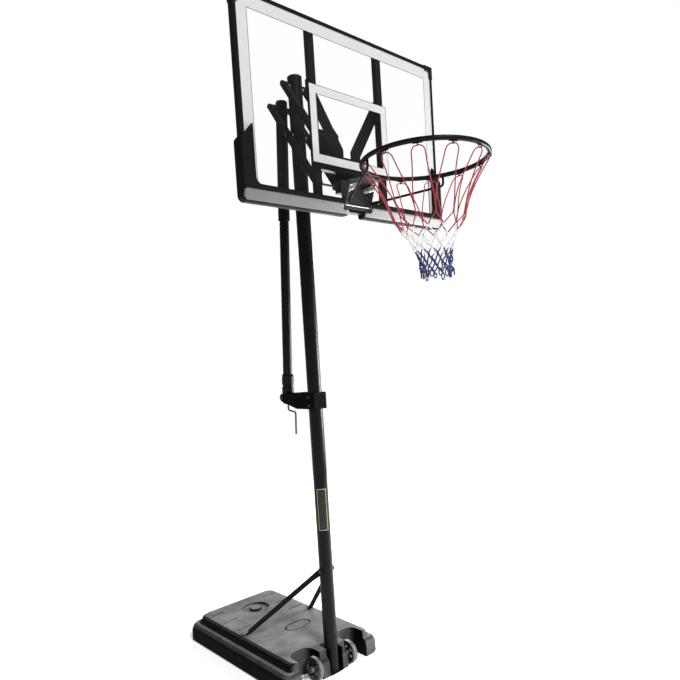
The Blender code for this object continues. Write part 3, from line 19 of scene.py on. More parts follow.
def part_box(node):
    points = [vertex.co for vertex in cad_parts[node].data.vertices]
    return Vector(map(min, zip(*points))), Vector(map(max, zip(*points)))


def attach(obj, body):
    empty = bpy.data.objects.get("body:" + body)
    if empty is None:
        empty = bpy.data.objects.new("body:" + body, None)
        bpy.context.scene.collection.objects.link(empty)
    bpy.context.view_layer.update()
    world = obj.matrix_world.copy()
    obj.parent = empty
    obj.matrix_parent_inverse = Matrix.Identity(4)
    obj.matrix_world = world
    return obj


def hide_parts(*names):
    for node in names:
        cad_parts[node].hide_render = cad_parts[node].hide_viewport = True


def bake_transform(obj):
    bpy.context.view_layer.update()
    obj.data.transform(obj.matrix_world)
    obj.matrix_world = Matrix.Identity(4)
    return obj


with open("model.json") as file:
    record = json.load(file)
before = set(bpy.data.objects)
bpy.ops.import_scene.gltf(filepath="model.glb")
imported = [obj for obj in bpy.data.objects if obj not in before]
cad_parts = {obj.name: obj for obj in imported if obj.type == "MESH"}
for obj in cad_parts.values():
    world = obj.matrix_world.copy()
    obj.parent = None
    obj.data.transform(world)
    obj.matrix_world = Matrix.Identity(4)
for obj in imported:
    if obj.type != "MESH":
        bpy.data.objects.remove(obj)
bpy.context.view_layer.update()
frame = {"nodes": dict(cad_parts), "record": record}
NODES: dict[str, bpy.types.Object] = frame["nodes"]
LOG = logging.getLogger("stand")
Colour = tuple[float, float, float]
Point = Sequence[float]
Socket = bpy.types.NodeSocket


class Side(Enum):
    """Left and right of the pole, as the sign of X."""

    LEFT = -1
    RIGHT = 1

    @property
    def word(self) -> str:
        """Name used in the pieces' names."""
        return self.name.lower()


class Body(Enum):
    """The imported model's moving groups that pieces ride on."""

    BASE = "base"
    BOARD = "board"
    RIM = "rim"


# Node trees and shader groups


class Nodes:
    """A node tree with short calls for its nodes and links."""

    def __init__(self, tree: bpy.types.NodeTree) -> None:
        """Keep the tree.

        Args:
            tree: The tree that the calls add to.
        """
        self.tree = tree

    def feed(self, socket: Socket, value: object) -> None:
        """Link a socket into another, or set its default.

        Args:
            socket: The socket that takes the value.
            value: A socket or a plain value.
        """
        if isinstance(value, Socket):
            self.tree.links.new(value, socket)
        else:
            socket.default_value = value

    def node(self, kind: str, inputs: dict[str | int, object] | None = None,
             **values: object) -> bpy.types.Node:
        """Add a node.

        Args:
            kind: The node's type.
            inputs: Sockets or plain values for its inputs.
            values: Its own settings.

        Returns:
            The new node.
        """
        made = self.tree.nodes.new(kind)
        for key, value in values.items():
            setattr(made, key, value)
        for key, value in (inputs or {}).items():
            self.feed(made.inputs[key], value)
        return made

    def ramp(self, value: object, low: float, high: float) -> Socket:
        """Smoothly map a value from low and high to 0 and 1.

        Args:
            value: What is mapped.
            low: Where the result is 0.
            high: Where the result is 1.

        Returns:
            The result.
        """
        made = self.node("ShaderNodeMapRange", {"Value": value, "From Min": low, "From Max": high},
                         interpolation_type="SMOOTHSTEP")
        return made.outputs["Result"]

    def between(self, mask: Socket, low: float, high: float) -> Socket:
        """Map a mask from 0 and 1 to two values.

        Args:
            mask: The mask.
            low: The value at 0.
            high: The value at 1.

        Returns:
            The value.
        """
        made = self.node("ShaderNodeMapRange", {"Value": mask, "To Min": low, "To Max": high})
        return made.outputs["Result"]


class GroupMaker(Nodes):
    """Builds one node group with named sockets."""

    def __init__(self, name: str, kind: str = "ShaderNodeTree") -> None:
        """Start an empty group.

        Args:
            name: The group's name.
            kind: The tree's type.
        """
        super().__init__(bpy.data.node_groups.new(name, kind))
        self.source = self.tree.nodes.new("NodeGroupInput")
        self.sink = self.tree.nodes.new("NodeGroupOutput")

    def take(self, name: str, kind: str, value: float | None = None) -> Socket:
        """Add an input socket.

        Args:
            name: The socket's name.
            kind: The socket's type, without its common prefix.
            value: The default of a number.

        Returns:
            The socket inside the group.
        """
        socket = self.tree.interface.new_socket(name=name, in_out="INPUT", socket_type="NodeSocket" + kind)
        if value is not None:
            socket.default_value = value
        return self.source.outputs[name]

    def give(self, name: str, kind: str, result: Socket) -> None:
        """Add an output socket and feed it.

        Args:
            name: The socket's name.
            kind: The socket's type, without its common prefix.
            result: What it puts out.
        """
        self.tree.interface.new_socket(name=name, in_out="OUTPUT", socket_type="NodeSocket" + kind)
        self.feed(self.sink.inputs[name], result)

    def maths(self, operation: str, *values: object) -> Socket:
        """Add a Math node.

        Args:
            operation: The node's operation.
            values: Its inputs, sockets or numbers.

        Returns:
            Its result.
        """
        return self.node("ShaderNodeMath", dict(enumerate(values)), operation=operation).outputs[0]

    def times(self, first: object, second: object) -> Socket:
        """The product of two sockets or numbers."""
        return self.maths("MULTIPLY", first, second)

    def noise(self, vector: object, scale: object, detail: float, rough: float = 0.55) -> Socket:
        """Add a Noise texture.

        Args:
            vector: Where it is read.
            scale: Its scale in waves a metre.
            detail: Its octaves.
            rough: How strong the finer octaves are.

        Returns:
            Its value.
        """
        inputs = {"Vector": vector, "Scale": scale, "Detail": detail, "Roughness": rough}
        return self.node("ShaderNodeTexNoise", inputs).outputs["Fac"]


def grain_group() -> bpy.types.NodeTree:
    """Fine surface grain with slow drifts of tone.

    Returns:
        The shader group.
    """
    maker = GroupMaker("surface_grain")
    vector = maker.take("Vector", "Vector")
    scale = maker.take("Scale", "Float", 900.0)
    slow = maker.noise(vector, maker.times(scale, 0.012), detail=4.0)
    maker.give("Height", "Float", maker.noise(vector, scale, detail=2.0))
    maker.give("Tone", "Float", maker.ramp(slow, 0.32, 0.70))
    return maker.tree


def wear_group() -> bpy.types.NodeTree:
    """Scuffs and fine scratches as one mask.

    Returns:
        The shader group.
    """
    maker = GroupMaker("scuffs")
    vector = maker.take("Vector", "Vector")
    scale = maker.take("Scale", "Float", 60.0)
    amount = maker.take("Amount", "Float", 0.3)
    patch = maker.ramp(maker.noise(vector, scale, detail=5.0, rough=0.65), 0.58, 0.74)
    stretch = maker.node("ShaderNodeMapping", {"Vector": vector, "Rotation": (0.5, 0.4, 0.9),
                                               "Scale": (1.0, 14.0, 14.0)})
    streaks = maker.noise(stretch.outputs["Vector"], maker.times(scale, 0.8), detail=2.0)
    both = maker.maths("MAXIMUM", patch, maker.times(maker.ramp(streaks, 0.66, 0.72), 0.7))
    maker.give("Mask", "Float", maker.times(both, amount))
    return maker.tree


def dust_and_sheen_group() -> bpy.types.NodeTree:
    """Dust and rubbed plastic on what faces up, which is also a painted sheen, and, if asked, painted light
    on what faces the player.

    Returns:
        The shader group.
    """
    maker = GroupMaker("dust_on_top")
    vector = maker.take("Vector", "Vector")
    normal = maker.take("Normal", "Vector")
    amount = maker.take("Amount", "Float", 0.3)
    painted_front_share = maker.take("Front", "Float", 0.0)
    split = maker.node("ShaderNodeSeparateXYZ", {0: normal})
    # Faces turned up get dust and painted sheen; faces turned to the front get painted light
    front = maker.ramp(maker.times(split.outputs["Y"], -1.0), 0.45, 0.95)
    up = maker.maths("MAXIMUM", maker.ramp(split.outputs["Z"], 0.68, 1.0), maker.times(front, painted_front_share))
    cloud = maker.ramp(maker.noise(vector, 9.0, detail=5.0, rough=0.6), 0.30, 0.72)
    speck = maker.ramp(maker.noise(vector, 420.0, detail=2.0), 0.45, 0.75)
    uneven = maker.maths("ADD", maker.times(cloud, 0.32), maker.times(speck, 0.18))
    dust_sheen_and_front_mask = maker.times(up, maker.maths("ADD", uneven, 0.42))
    maker.give("Mask", "Float", maker.times(dust_sheen_and_front_mask, amount))
    return maker.tree


def ply_group() -> bpy.types.NodeTree:
    """The twist of a cord's plies, from the distance along it and the way round it.

    Returns:
        The shader group.
    """
    maker = GroupMaker("cord_plies")
    along = maker.take("Along", "Float")
    around = maker.take("Around", "Vector")
    pitch = maker.take("Pitch", "Float", 0.006)
    plies = maker.take("Plies", "Float", 3.0)
    split = maker.node("ShaderNodeSeparateXYZ", {0: around})
    angle = maker.maths("ARCTAN2", split.outputs["Y"], split.outputs["X"])
    twist = maker.times(maker.maths("DIVIDE", along, pitch), 2 * math.pi)
    wave = maker.maths("SINE", maker.maths("ADD", twist, maker.times(angle, plies)))
    maker.give("Height", "Float", maker.ramp(wave, -1.0, 0.7))
    return maker.tree


@dataclass
class Groups:
    """The shader groups that the finishes share."""

    grain: bpy.types.NodeTree = field(default_factory=grain_group)
    wear: bpy.types.NodeTree = field(default_factory=wear_group)
    dust_and_sheen: bpy.types.NodeTree = field(default_factory=dust_and_sheen_group)
    plies: bpy.types.NodeTree = field(default_factory=ply_group)


GROUPS = Groups()


class Shader(Nodes):
    """One material's node tree with short calls for its nodes."""

    def __init__(self, name: str) -> None:
        """Start a material with its Principled shader.

        Args:
            name: The material's name.
        """
        self.material = bpy.data.materials.new(name)
        self.material.use_nodes = True
        super().__init__(self.material.node_tree)
        self.principled = self.tree.nodes["Principled BSDF"]
        self.coordinates = self.node("ShaderNodeTexCoord").outputs["Object"]

    def set(self, **values: object) -> None:
        """Set plain values on the shader's sockets, with underscores for spaces."""
        for key, value in values.items():
            self.principled.inputs[key.replace("_", " ")].default_value = value

    def drive(self, name: str, value: Socket) -> None:
        """Link a value into one of the shader's sockets."""
        self.feed(self.principled.inputs[name], value)

    def group(self, tree: bpy.types.NodeTree, **values: object) -> bpy.types.Node:
        """Place a shared group.

        Args:
            tree: The group.
            values: Its inputs.

        Returns:
            The group's node.
        """
        return self.node("ShaderNodeGroup", values, node_tree=tree)

    def mix(self, mask: object, first: object, second: object, blend: str = "MIX") -> Socket:
        """Mix two colours.

        Args:
            mask: How much of the second shows.
            first: The first colour, three numbers or a socket.
            second: The second colour, three numbers or a socket.
            blend: How the second is laid over the first.

        Returns:
            The mixed colour.
        """
        made = self.node("ShaderNodeMix", {"Factor": mask}, data_type="RGBA", blend_type=blend)
        for socket, value in ((made.inputs[6], first), (made.inputs[7], second)):
            self.feed(socket, value if isinstance(value, Socket) else (*value, 1.0))
        return made.outputs[2]

    def bump(self, height: Socket, depth: float) -> None:
        """Feed a height into the shader's normal.

        Args:
            height: The height from 0 to 1.
            depth: How deep 1 is, in metres.
        """
        made = self.node("ShaderNodeBump", {"Distance": depth, "Strength": 1.0, "Height": height})
        self.drive("Normal", made.outputs["Normal"])

    def normal(self) -> Socket:
        """The surface's own normal."""
        return self.node("ShaderNodeNewGeometry").outputs["Normal"]

    def attribute(self, name: str, output: str) -> Socket:
        """One output of a node that reads one of the mesh's attributes."""
        return self.node("ShaderNodeAttribute", attribute_name=name).outputs[output]


@dataclass(frozen=True)
class Coating:
    """Paint or moulded plastic: a grained surface with scuffs and dust, where the dust on top is also a
    painted sheen and, if asked, painted light lies on faces turned to the front.
    """

    name: str
    colour: Colour
    roughness: float
    metallic: float = 0.0
    grain: float = 900.0
    depth: float = 0.00006
    wear: float = 0.06
    dust_and_sheen: float = 0.15
    painted_front_light: float = 0.0
    gloss: float = 0.20
    drift: float = 0.78
    coat: float = 0.0
    scuff_colour: Colour = (0.10, 0.10, 0.105)
    dust_and_sheen_colour: Colour = (0.16, 0.16, 0.155)

    def build(self) -> bpy.types.Material:
        """Make the material.

        Returns:
            The material.
        """
        shader = Shader(self.name)
        place = shader.coordinates
        grain = shader.group(GROUPS.grain, Vector=place, Scale=self.grain)
        worn = shader.group(GROUPS.wear, Vector=place, Amount=self.wear)
        # Dust mixed with painted sheen on tops and painted light on front faces
        dust_and_sheen = shader.group(GROUPS.dust_and_sheen, Vector=place, Normal=shader.normal(), Amount=self.dust_and_sheen,
                            Front=self.painted_front_light)
        deep = tuple(c * self.drift for c in self.colour)
        tone = shader.mix(grain.outputs["Tone"], deep, self.colour)
        scuffed = shader.mix(worn.outputs["Mask"], tone, self.scuff_colour)
        shader.drive("Base Color", shader.mix(dust_and_sheen.outputs["Mask"], scuffed, self.dust_and_sheen_colour))
        low, high = max(self.roughness - 0.07, 0.05), min(self.roughness + 0.09, 1.0)
        shader.drive("Roughness", shader.between(grain.outputs["Tone"], high, low))
        shader.set(Metallic=self.metallic, Specular_IOR_Level=self.gloss, Coat_Weight=self.coat,
                   Coat_Roughness=0.18)
        shader.bump(grain.outputs["Height"], self.depth)
        return shader.material


@dataclass(frozen=True)
class Plating:
    """Bare or plated steel with fine brushing and dull spots."""

    name: str
    colour: Colour
    roughness: float
    dulling: float = 0.15
    spot: Colour = (0.30, 0.29, 0.27)

    def build(self) -> bpy.types.Material:
        """Make the material.

        Returns:
            The material.
        """
        shader = Shader(self.name)
        grain = shader.group(GROUPS.grain, Vector=shader.coordinates, Scale=2200.0)
        worn = shader.group(GROUPS.wear, Vector=shader.coordinates, Scale=180.0, Amount=0.6)
        dullest = self.roughness + self.dulling
        shader.drive("Base Color", shader.mix(worn.outputs["Mask"], self.colour, self.spot))
        shader.drive("Roughness", shader.between(grain.outputs["Tone"], dullest, self.roughness))
        shader.set(Metallic=1.0)
        shader.bump(grain.outputs["Height"], 0.00002)
        return shader.material


@dataclass(frozen=True)
class ClearSheet:
    """Clear acrylic with faint smears."""

    name: str
    alpha: float = 0.008
    smear: float = 0.015

    def build(self) -> bpy.types.Material:
        """Make the material.

        Returns:
            The material.
        """
        shader = Shader(self.name)
        worn = shader.group(GROUPS.wear, Vector=shader.coordinates, Scale=7.0, Amount=0.5)
        shader.set(Base_Color=(0.36, 0.39, 0.40, 1.0), IOR=1.49, Specular_IOR_Level=0.35)
        shader.drive("Roughness", shader.between(worn.outputs["Mask"], 0.04, 0.22))
        shader.drive("Alpha", shader.between(worn.outputs["Mask"], self.alpha, self.alpha + self.smear))
        return shader.material


@dataclass(frozen=True)
class Fibre:
    """Twisted cord dyed in bands along its height, with painted shade in the grooves between its plies."""

    name: str
    top: Colour
    bands: tuple[tuple[float, Colour], ...]
    pitch: float = 0.0065
    blur: float = 0.0015

    def build(self) -> bpy.types.Material:
        """Make the material.

        Returns:
            The material.
        """
        shader = Shader(self.name)
        plies = shader.group(GROUPS.plies, Along=shader.attribute("along", "Fac"),
                             Around=shader.attribute("around", "Vector"), Pitch=self.pitch)
        grain = shader.group(GROUPS.grain, Vector=shader.coordinates, Scale=2600.0)
        height = shader.node("ShaderNodeSeparateXYZ", {0: shader.coordinates}).outputs["Z"]
        colour: object = self.top
        for level, dye in self.bands:
            colour = shader.mix(shader.ramp(height, level + self.blur, level - self.blur), colour, dye)
        # Painted shade: the grooves between the plies are darkened in the colour
        shade = shader.mix(plies.outputs["Height"], (0.68, 0.68, 0.70), (1.0, 1.0, 1.0))
        shader.drive("Base Color", shader.mix(1.0, colour, shade, "MULTIPLY"))
        shader.drive("Roughness", shader.between(grain.outputs["Height"], 0.75, 0.95))
        shader.set(Sheen_Weight=0.25, Sheen_Roughness=0.5)
        shader.bump(plies.outputs["Height"], 0.0006)
        return shader.material


BLACK_PAINT = (0.005, 0.005, 0.0055)
BLACK_PLASTIC = (0.006, 0.006, 0.0065)
PRINT_WHITE = (0.53, 0.53, 0.518)


class Finishes:
    """Every finish of the stand, built once."""

    def __init__(self) -> None:
        """Build the materials."""
        self.satin = Coating("satin_black_tube", BLACK_PAINT, 0.30, grain=700.0, depth=0.00004, dust_and_sheen=0.05,
                             gloss=0.12).build()
        self.steel = Coating("black_powder_coat", BLACK_PAINT, 0.40, grain=1100.0, depth=0.00008, dust_and_sheen=0.06,
                             gloss=0.10).build()
        self.dull = Coating("dull_black_sheet", (0.004, 0.004, 0.0045), 0.58, grain=1100.0, depth=0.00008,
                            wear=0.05, dust_and_sheen=0.03, gloss=0.015).build()
        self.mount = Coating("mount_plate_paint", (0.070, 0.072, 0.068), 0.34, metallic=0.3, grain=1100.0,
                             wear=0.20, gloss=0.25, scuff_colour=(0.14, 0.14, 0.13)).build()
        self.extrusion = Coating("black_frame", BLACK_PLASTIC, 0.36, grain=1500.0, depth=0.00003, dust_and_sheen=0.04,
                                 gloss=0.15).build()
        # The tank's heavy dust on top is mostly painted sheen, and its front faces get painted light
        self.tank = Coating("grained_tank_plastic", BLACK_PLASTIC, 0.50, grain=520.0, depth=0.00014,
                            dust_and_sheen=0.85, painted_front_light=0.45, gloss=0.01, dust_and_sheen_colour=(0.25, 0.25, 0.24)).build()
        self.plastic = Coating("black_moulded_plastic", (0.008, 0.008, 0.0085), 0.46, grain=1300.0,
                               wear=0.10, dust_and_sheen=0.12).build()
        # The wheels' dust on top and on the front is largely painted light on their treads
        self.wheel = Coating("wheel_plastic", (0.010, 0.010, 0.010), 0.36, depth=0.00008, wear=0.40,
                             dust_and_sheen=0.60, painted_front_light=1.0, gloss=0.30, scuff_colour=(0.16, 0.16, 0.155),
                             dust_and_sheen_colour=(0.30, 0.30, 0.29)).build()
        self.foam = Coating("skinned_foam", BLACK_PLASTIC, 0.60, grain=380.0, depth=0.00020, dust_and_sheen=0.18,
                            gloss=0.08).build()
        # A lighter copy of the foam, painted on facets that face forward and down as light from the floor
        self.painted_light_facet = Coating("smooth_foam_facet", (0.130, 0.130, 0.122), 0.42, grain=380.0, depth=0.00010,
                             wear=0.12, dust_and_sheen=0.0, gloss=0.50, scuff_colour=(0.20, 0.20, 0.19)).build()
        flat = {"grain": 1800.0, "depth": 0.00001, "dust_and_sheen": 0.0}
        self.ink = Coating("white_print", PRINT_WHITE, 0.34, wear=0.05, gloss=0.5, drift=0.96,
                           scuff_colour=PRINT_WHITE, **flat).build()
        # Dark lines along the white bands' edges: painted shade of the print's thickness
        self.outline = Coating("dark_print_line", (0.03, 0.03, 0.035), 0.4, wear=0.02, **flat).build()
        self.label = Coating("bare_label", (0.010, 0.010, 0.011), 0.22, wear=0.05, coat=0.3, **flat).build()
        self.label_line = Coating("label_line", (0.55, 0.50, 0.22), 0.35, wear=0.10,
                                  scuff_colour=(0.3, 0.28, 0.16), **flat).build()
        self.zinc = Plating("zinc_plate", (0.56, 0.57, 0.58), 0.34).build()
        self.oxide = Plating("blackened_bolts", (0.06, 0.06, 0.062), 0.38, spot=(0.12, 0.12, 0.115)).build()
        self.bright = Plating("bright_spring_steel", (0.78, 0.78, 0.80), 0.20).build()
        self.clear = ClearSheet("clear_acrylic").build()
        self.cord = Fibre("dyed_net_cord", (0.40, 0.015, 0.026),
                          ((1.992, (0.93, 0.93, 0.93)), (1.911, (0.010, 0.038, 0.165)))).build()


# Mesh and Geometry Nodes tools


def add(name: str, data: bpy.types.ID) -> bpy.types.Object:
    """Make an object of a mesh, light or camera and link it to the scene."""
    made = bpy.data.objects.new(name, data)
    bpy.context.scene.collection.objects.link(made)
    return made


def shade(mesh: bpy.types.Mesh, smooth: float | None) -> None:
    """Shade a mesh smooth where its edges are under an angle in degrees; without one it stays flat."""
    if smooth is not None and mesh.polygons:
        mesh.shade_smooth()
        mesh.set_sharp_from_angle(angle=math.radians(smooth))


def new_object(name: str, bm: bmesh.types.BMesh, material: bpy.types.Material | None = None,
               smooth: float | None = 35.0) -> bpy.types.Object:
    """Make an object from a bmesh, with its faces pointing out.

    Args:
        name: The object's name.
        bm: The mesh, which is freed.
        material: Its finish.
        smooth: The angle under which edges are shaded smooth, in degrees.

    Returns:
        The object, linked to the scene.
    """
    bmesh.ops.remove_doubles(bm, verts=bm.verts, dist=1e-6)
    bmesh.ops.recalc_face_normals(bm, faces=bm.faces[:])
    mesh = bpy.data.meshes.new(name)
    bm.to_mesh(mesh)
    bm.free()
    if material:
        mesh.materials.append(material)
    shade(mesh, smooth)
    return add(name, mesh)


def settle(piece: bpy.types.Object, smooth: float | None = None) -> bpy.types.Object:
    """Apply a piece's modifiers to its mesh.

    Args:
        piece: The piece.
        smooth: The angle under which edges are shaded smooth, in degrees.

    Returns:
        The same piece with a plain mesh.
    """
    bpy.context.view_layer.update()
    graph = bpy.context.evaluated_depsgraph_get()
    mesh = bpy.data.meshes.new_from_object(piece.evaluated_get(graph))
    piece.modifiers.clear()
    old = piece.data
    piece.data = mesh
    bpy.data.meshes.remove(old)
    bm = bmesh.new()
    bm.from_mesh(mesh)
    bmesh.ops.recalc_face_normals(bm, faces=bm.faces[:])
    bm.to_mesh(mesh)
    bm.free()
    shade(mesh, smooth)
    return piece


def turns(count: int) -> Iterable[float]:
    """Even steps once round, in radians."""
    return np.linspace(0, 2 * math.pi, count + 1)[:-1]


def loft(rows: Iterable[Sequence[Point]], ring: bool = False, caps: bool = False) -> bmesh.types.BMesh:
    """Join rows of points, each once round, with faces.

    Args:
        rows: The rows, where a row of one point is a tip.
        ring: Whether the last row joins the first.
        caps: Whether the first and last rows are filled.

    Returns:
        The mesh.
    """
    bm = bmesh.new()
    loops = [[bm.verts.new(tuple(point)) for point in row] for row in rows]
    pairs = list(zip(loops, loops[1:])) + ([(loops[-1], loops[0])] if ring else [])
    for first, second in pairs:
        count = max(len(first), len(second))
        for k in range(count):
            after = (k + 1) % count
            corners = dict.fromkeys((first[k % len(first)], first[after % len(first)],
                                     second[after % len(second)], second[k % len(second)]))
            if len(corners) > 2:
                bm.faces.new(list(corners))
    if caps:
        bm.faces.new(loops[0])
        bm.faces.new(loops[-1])
    return bm


def turned(profile: Iterable[tuple[float, float]], steps: int, ring: bool = False) -> bmesh.types.BMesh:
    """Turn a profile about Z.

    Args:
        profile: Points of radius and height.
        steps: Sides of the turned shape.
        ring: Whether the last point joins the first.

    Returns:
        The mesh.
    """
    rows = []
    for radius, height in profile:
        sides = turns(steps) if radius > 0 else (0.0,)
        rows.append([(radius * math.cos(a), radius * math.sin(a), height) for a in sides])
    return loft(rows, ring)


def placed(bm: bmesh.types.BMesh, position: Point, direction: Point = (0, 0, 1)) -> bmesh.types.BMesh:
    """Turn a mesh's own Z to a direction and move it.

    Args:
        bm: The mesh.
        position: Where its origin goes.
        direction: Where its Z goes.

    Returns:
        The same mesh.
    """
    turn = Vector((0, 0, 1)).rotation_difference(Vector(direction)).to_matrix().to_4x4()
    bmesh.ops.transform(bm, matrix=Matrix.Translation(Vector(position)) @ turn, verts=bm.verts)
    return bm


def merged(*parts: bmesh.types.BMesh) -> bmesh.types.BMesh:
    """Put several meshes in one.

    Args:
        parts: The meshes, which are freed.

    Returns:
        One mesh of them all.
    """
    whole = bmesh.new()
    for part in parts:
        mesh = bpy.data.meshes.new("part")
        part.to_mesh(mesh)
        part.free()
        whole.from_mesh(mesh)
        bpy.data.meshes.remove(mesh)
    return whole


def paths(lines: Iterable[Sequence[Point]], closed: bool = False) -> bmesh.types.BMesh:
    """Lines of points as a mesh of edges.

    Args:
        lines: The lines.
        closed: Whether each line's end joins its start.

    Returns:
        The mesh.
    """
    bm = bmesh.new()
    for line in lines:
        row = [bm.verts.new(tuple(point)) for point in line]
        for first, second in zip(row, row[1:]):
            bm.edges.new((first, second))
        if closed:
            bm.edges.new((row[-1], row[0]))
    return bm


class ShapeMaker(GroupMaker):
    """Builds one Geometry Nodes tree with named inputs."""

    def __init__(self, name: str) -> None:
        """Start a tree with a geometry input.

        Args:
            name: The tree's name.
        """
        super().__init__(name, "GeometryNodeTree")
        self.tree.is_modifier = True
        self.geometry = self.take("Geometry", "Geometry")

    def store(self, name: str, kind: str, geometry: Socket, value: Socket) -> Socket:
        """Keep a value of every point as a named attribute.

        Args:
            name: The attribute's name.
            kind: Its data type.
            geometry: The geometry that gets it.
            value: The value.

        Returns:
            The geometry with the attribute.
        """
        made = self.node("GeometryNodeStoreNamedAttribute",
                         {"Geometry": geometry, "Name": name, "Value": value}, data_type=kind, domain="POINT")
        return made.outputs[0]

    def end(self, shape: Socket, material: Socket) -> bpy.types.NodeTree:
        """Realize what the tree made, give it its material and put it out.

        Args:
            shape: What the tree made.
            material: The material's socket.

        Returns:
            The finished tree.
        """
        real = self.node("GeometryNodeRealizeInstances", {"Geometry": shape})
        dressed = self.node("GeometryNodeSetMaterial", {"Geometry": real.outputs[0], "Material": material})
        self.give("Geometry", "Geometry", dressed.outputs[0])
        return self.tree


def tube_tree() -> bpy.types.NodeTree:
    """Sweeps a round section along a mesh's edges and keeps the way along and round it.

    Returns:
        The tree.
    """
    maker = ShapeMaker("tube_on_path")
    radius = maker.take("Radius", "Float")
    sides = maker.take("Sides", "Int")
    caps = maker.take("Caps", "Bool")
    material = maker.take("Material", "Material")
    curve = maker.node("GeometryNodeMeshToCurve", {"Mesh": maker.geometry})
    length = maker.node("GeometryNodeSplineParameter")
    along = maker.store("along", "FLOAT", curve.outputs[0], length.outputs["Length"])
    circle = maker.node("GeometryNodeCurvePrimitiveCircle", {"Resolution": sides, "Radius": radius})
    spot = maker.node("GeometryNodeInputPosition")
    around = maker.store("around", "FLOAT_VECTOR", circle.outputs["Curve"], spot.outputs[0])
    skin = maker.node("GeometryNodeCurveToMesh",
                      {"Curve": along, "Profile Curve": around, "Fill Caps": caps})
    return maker.end(skin.outputs[0], material)


def stamp_tree() -> bpy.types.NodeTree:
    """Puts one shape on every vertex, with its Z along the vertex's attribute facing.

    Returns:
        The tree.
    """
    maker = ShapeMaker("shape_on_points")
    shape = maker.take("Shape", "Object")
    material = maker.take("Material", "Material")
    info = maker.node("GeometryNodeObjectInfo", {"Object": shape})
    facing = maker.node("GeometryNodeInputNamedAttribute", {"Name": "facing"}, data_type="FLOAT_VECTOR")
    turn = maker.node("FunctionNodeAlignRotationToVector", {"Vector": facing.outputs["Attribute"]}, axis="Z")
    spread = maker.node("GeometryNodeInstanceOnPoints",
                        {"Points": maker.geometry, "Instance": info.outputs["Geometry"],
                         "Rotation": turn.outputs["Rotation"]})
    return maker.end(spread.outputs[0], material)


@dataclass
class Trees:
    """The Geometry Nodes trees that the pieces share."""

    tube: bpy.types.NodeTree = field(default_factory=tube_tree)
    stamp: bpy.types.NodeTree = field(default_factory=stamp_tree)


TREES = Trees()


def run_tree(piece: bpy.types.Object, tree: bpy.types.NodeTree, smooth: float,
             **values: object) -> bpy.types.Object:
    """Run a Geometry Nodes tree on a piece and keep the plain mesh.

    Args:
        piece: The piece.
        tree: The tree.
        smooth: The angle under which edges are shaded smooth, in degrees.
        values: The tree's named inputs.

    Returns:
        The same piece.
    """
    modifier = piece.modifiers.new(tree.name, "NODES")
    modifier.node_group = tree
    for item in tree.interface.items_tree:
        if getattr(item, "in_out", "") == "INPUT" and item.name in values:
            modifier[item.identifier] = values[item.name]
    return settle(piece, smooth)


def tube(name: str, lines: Iterable[Sequence[Point]], radius: float, sides: int,
         material: bpy.types.Material, closed: bool = False) -> bpy.types.Object:
    """Round rods or cords along lines.

    Args:
        name: The piece's name.
        lines: The lines they follow.
        radius: Their radius.
        sides: Sides of their section.
        material: Their finish.
        closed: Whether each line is a loop.

    Returns:
        The piece.
    """
    piece = new_object(name, paths(lines, closed), None, None)
    return run_tree(piece, TREES.tube, 50.0, Radius=radius, Sides=sides, Caps=not closed, Material=material)


def stamps(name: str, shape: bpy.types.Object, spots: Sequence[tuple[Point, Point]],
           material: bpy.types.Material) -> bpy.types.Object:
    """One shape repeated at several spots.

    Args:
        name: The piece's name.
        shape: The shape, with its own Z outwards.
        spots: Pairs of position and direction.
        material: The finish.

    Returns:
        The piece.
    """
    mesh = bpy.data.meshes.new(name)
    mesh.from_pydata([tuple(position) for position, _ in spots], [], [])
    facing = mesh.attributes.new("facing", "FLOAT_VECTOR", "POINT")
    facing.data.foreach_set("vector", np.array([list(way) for _, way in spots], np.float32).ravel())
    return run_tree(add(name, mesh), TREES.stamp, 30.0, Shape=shape, Material=material)


def mount(piece: bpy.types.Object, body: Body, slot: str, *stands_for: str) -> None:
    """Fix a finished piece on its body and hide the nodes it stands for.

    Args:
        piece: The piece.
        body: The body it rides on.
        slot: The record's material slot; not used.
        stands_for: The nodes it replaces.
    """
    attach(piece, body.value)
    if stands_for:
        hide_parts(*stands_for)
    LOG.info("%s rides on %s, %d faces", piece.name, body.value, len(piece.data.polygons))


# Sub-assemblies

POLE = (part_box("pole_cap")[0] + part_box("pole_cap")[1]) / 2

# The ring's centre as seen from the pole, the radius of its centre line, and the net's hooks under it
RING_Y = -0.7286
RING_RADIUS = 0.2376
HOOKS = 12
FIRST_HOOK = math.radians(93.5)


def at(x: float, y: float, z: float) -> Vector:
    """A point given from the pole's axis, in the frame."""
    return Vector((x, y + POLE.y, z))


def away(turn: float, rise: float = 0.0) -> Vector:
    """The direction outwards at an angle round an upright axis."""
    return Vector((math.cos(turn), math.sin(turn), rise))


def hook_turn(place: float) -> float:
    """The angle round the ring of a hook, or of a place between two hooks, in radians."""
    return FIRST_HOOK + 2 * math.pi * place / HOOKS


def dress(finishes: Finishes) -> None:
    """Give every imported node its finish; pieces that stand for a node come later.

    Args:
        finishes: The stand's finishes.
    """
    by_slot = {"black_steel": finishes.steel, "satin_black_steel": finishes.satin,
               "zinc_bolts": finishes.zinc, "spring_steel": finishes.bright, "tank_plastic": finishes.tank,
               "black_plastic": finishes.plastic, "wheel_plastic": finishes.wheel,
               "frame_black": finishes.extrusion, "clear_acrylic": finishes.clear,
               "pad_foam": finishes.foam, "net_cord": finishes.cord}
    for part in frame["record"]["subparts"]:
        mesh = NODES[part["node"]].data
        mesh.materials.clear()
        mesh.materials.append(by_slot[part["material_slot"]])
    others = ((finishes.mount, ("rim_bracket", "rim_mount_plate")),
              (finishes.oxide, ("rear_pin_left", "rear_pin_right", "crank", "wheel_axle")),
              (finishes.dull, ("jack_bracket", "pole_bracket")))
    for finish, names in others:
        for name in names:
            NODES[name].data.materials[0] = finish


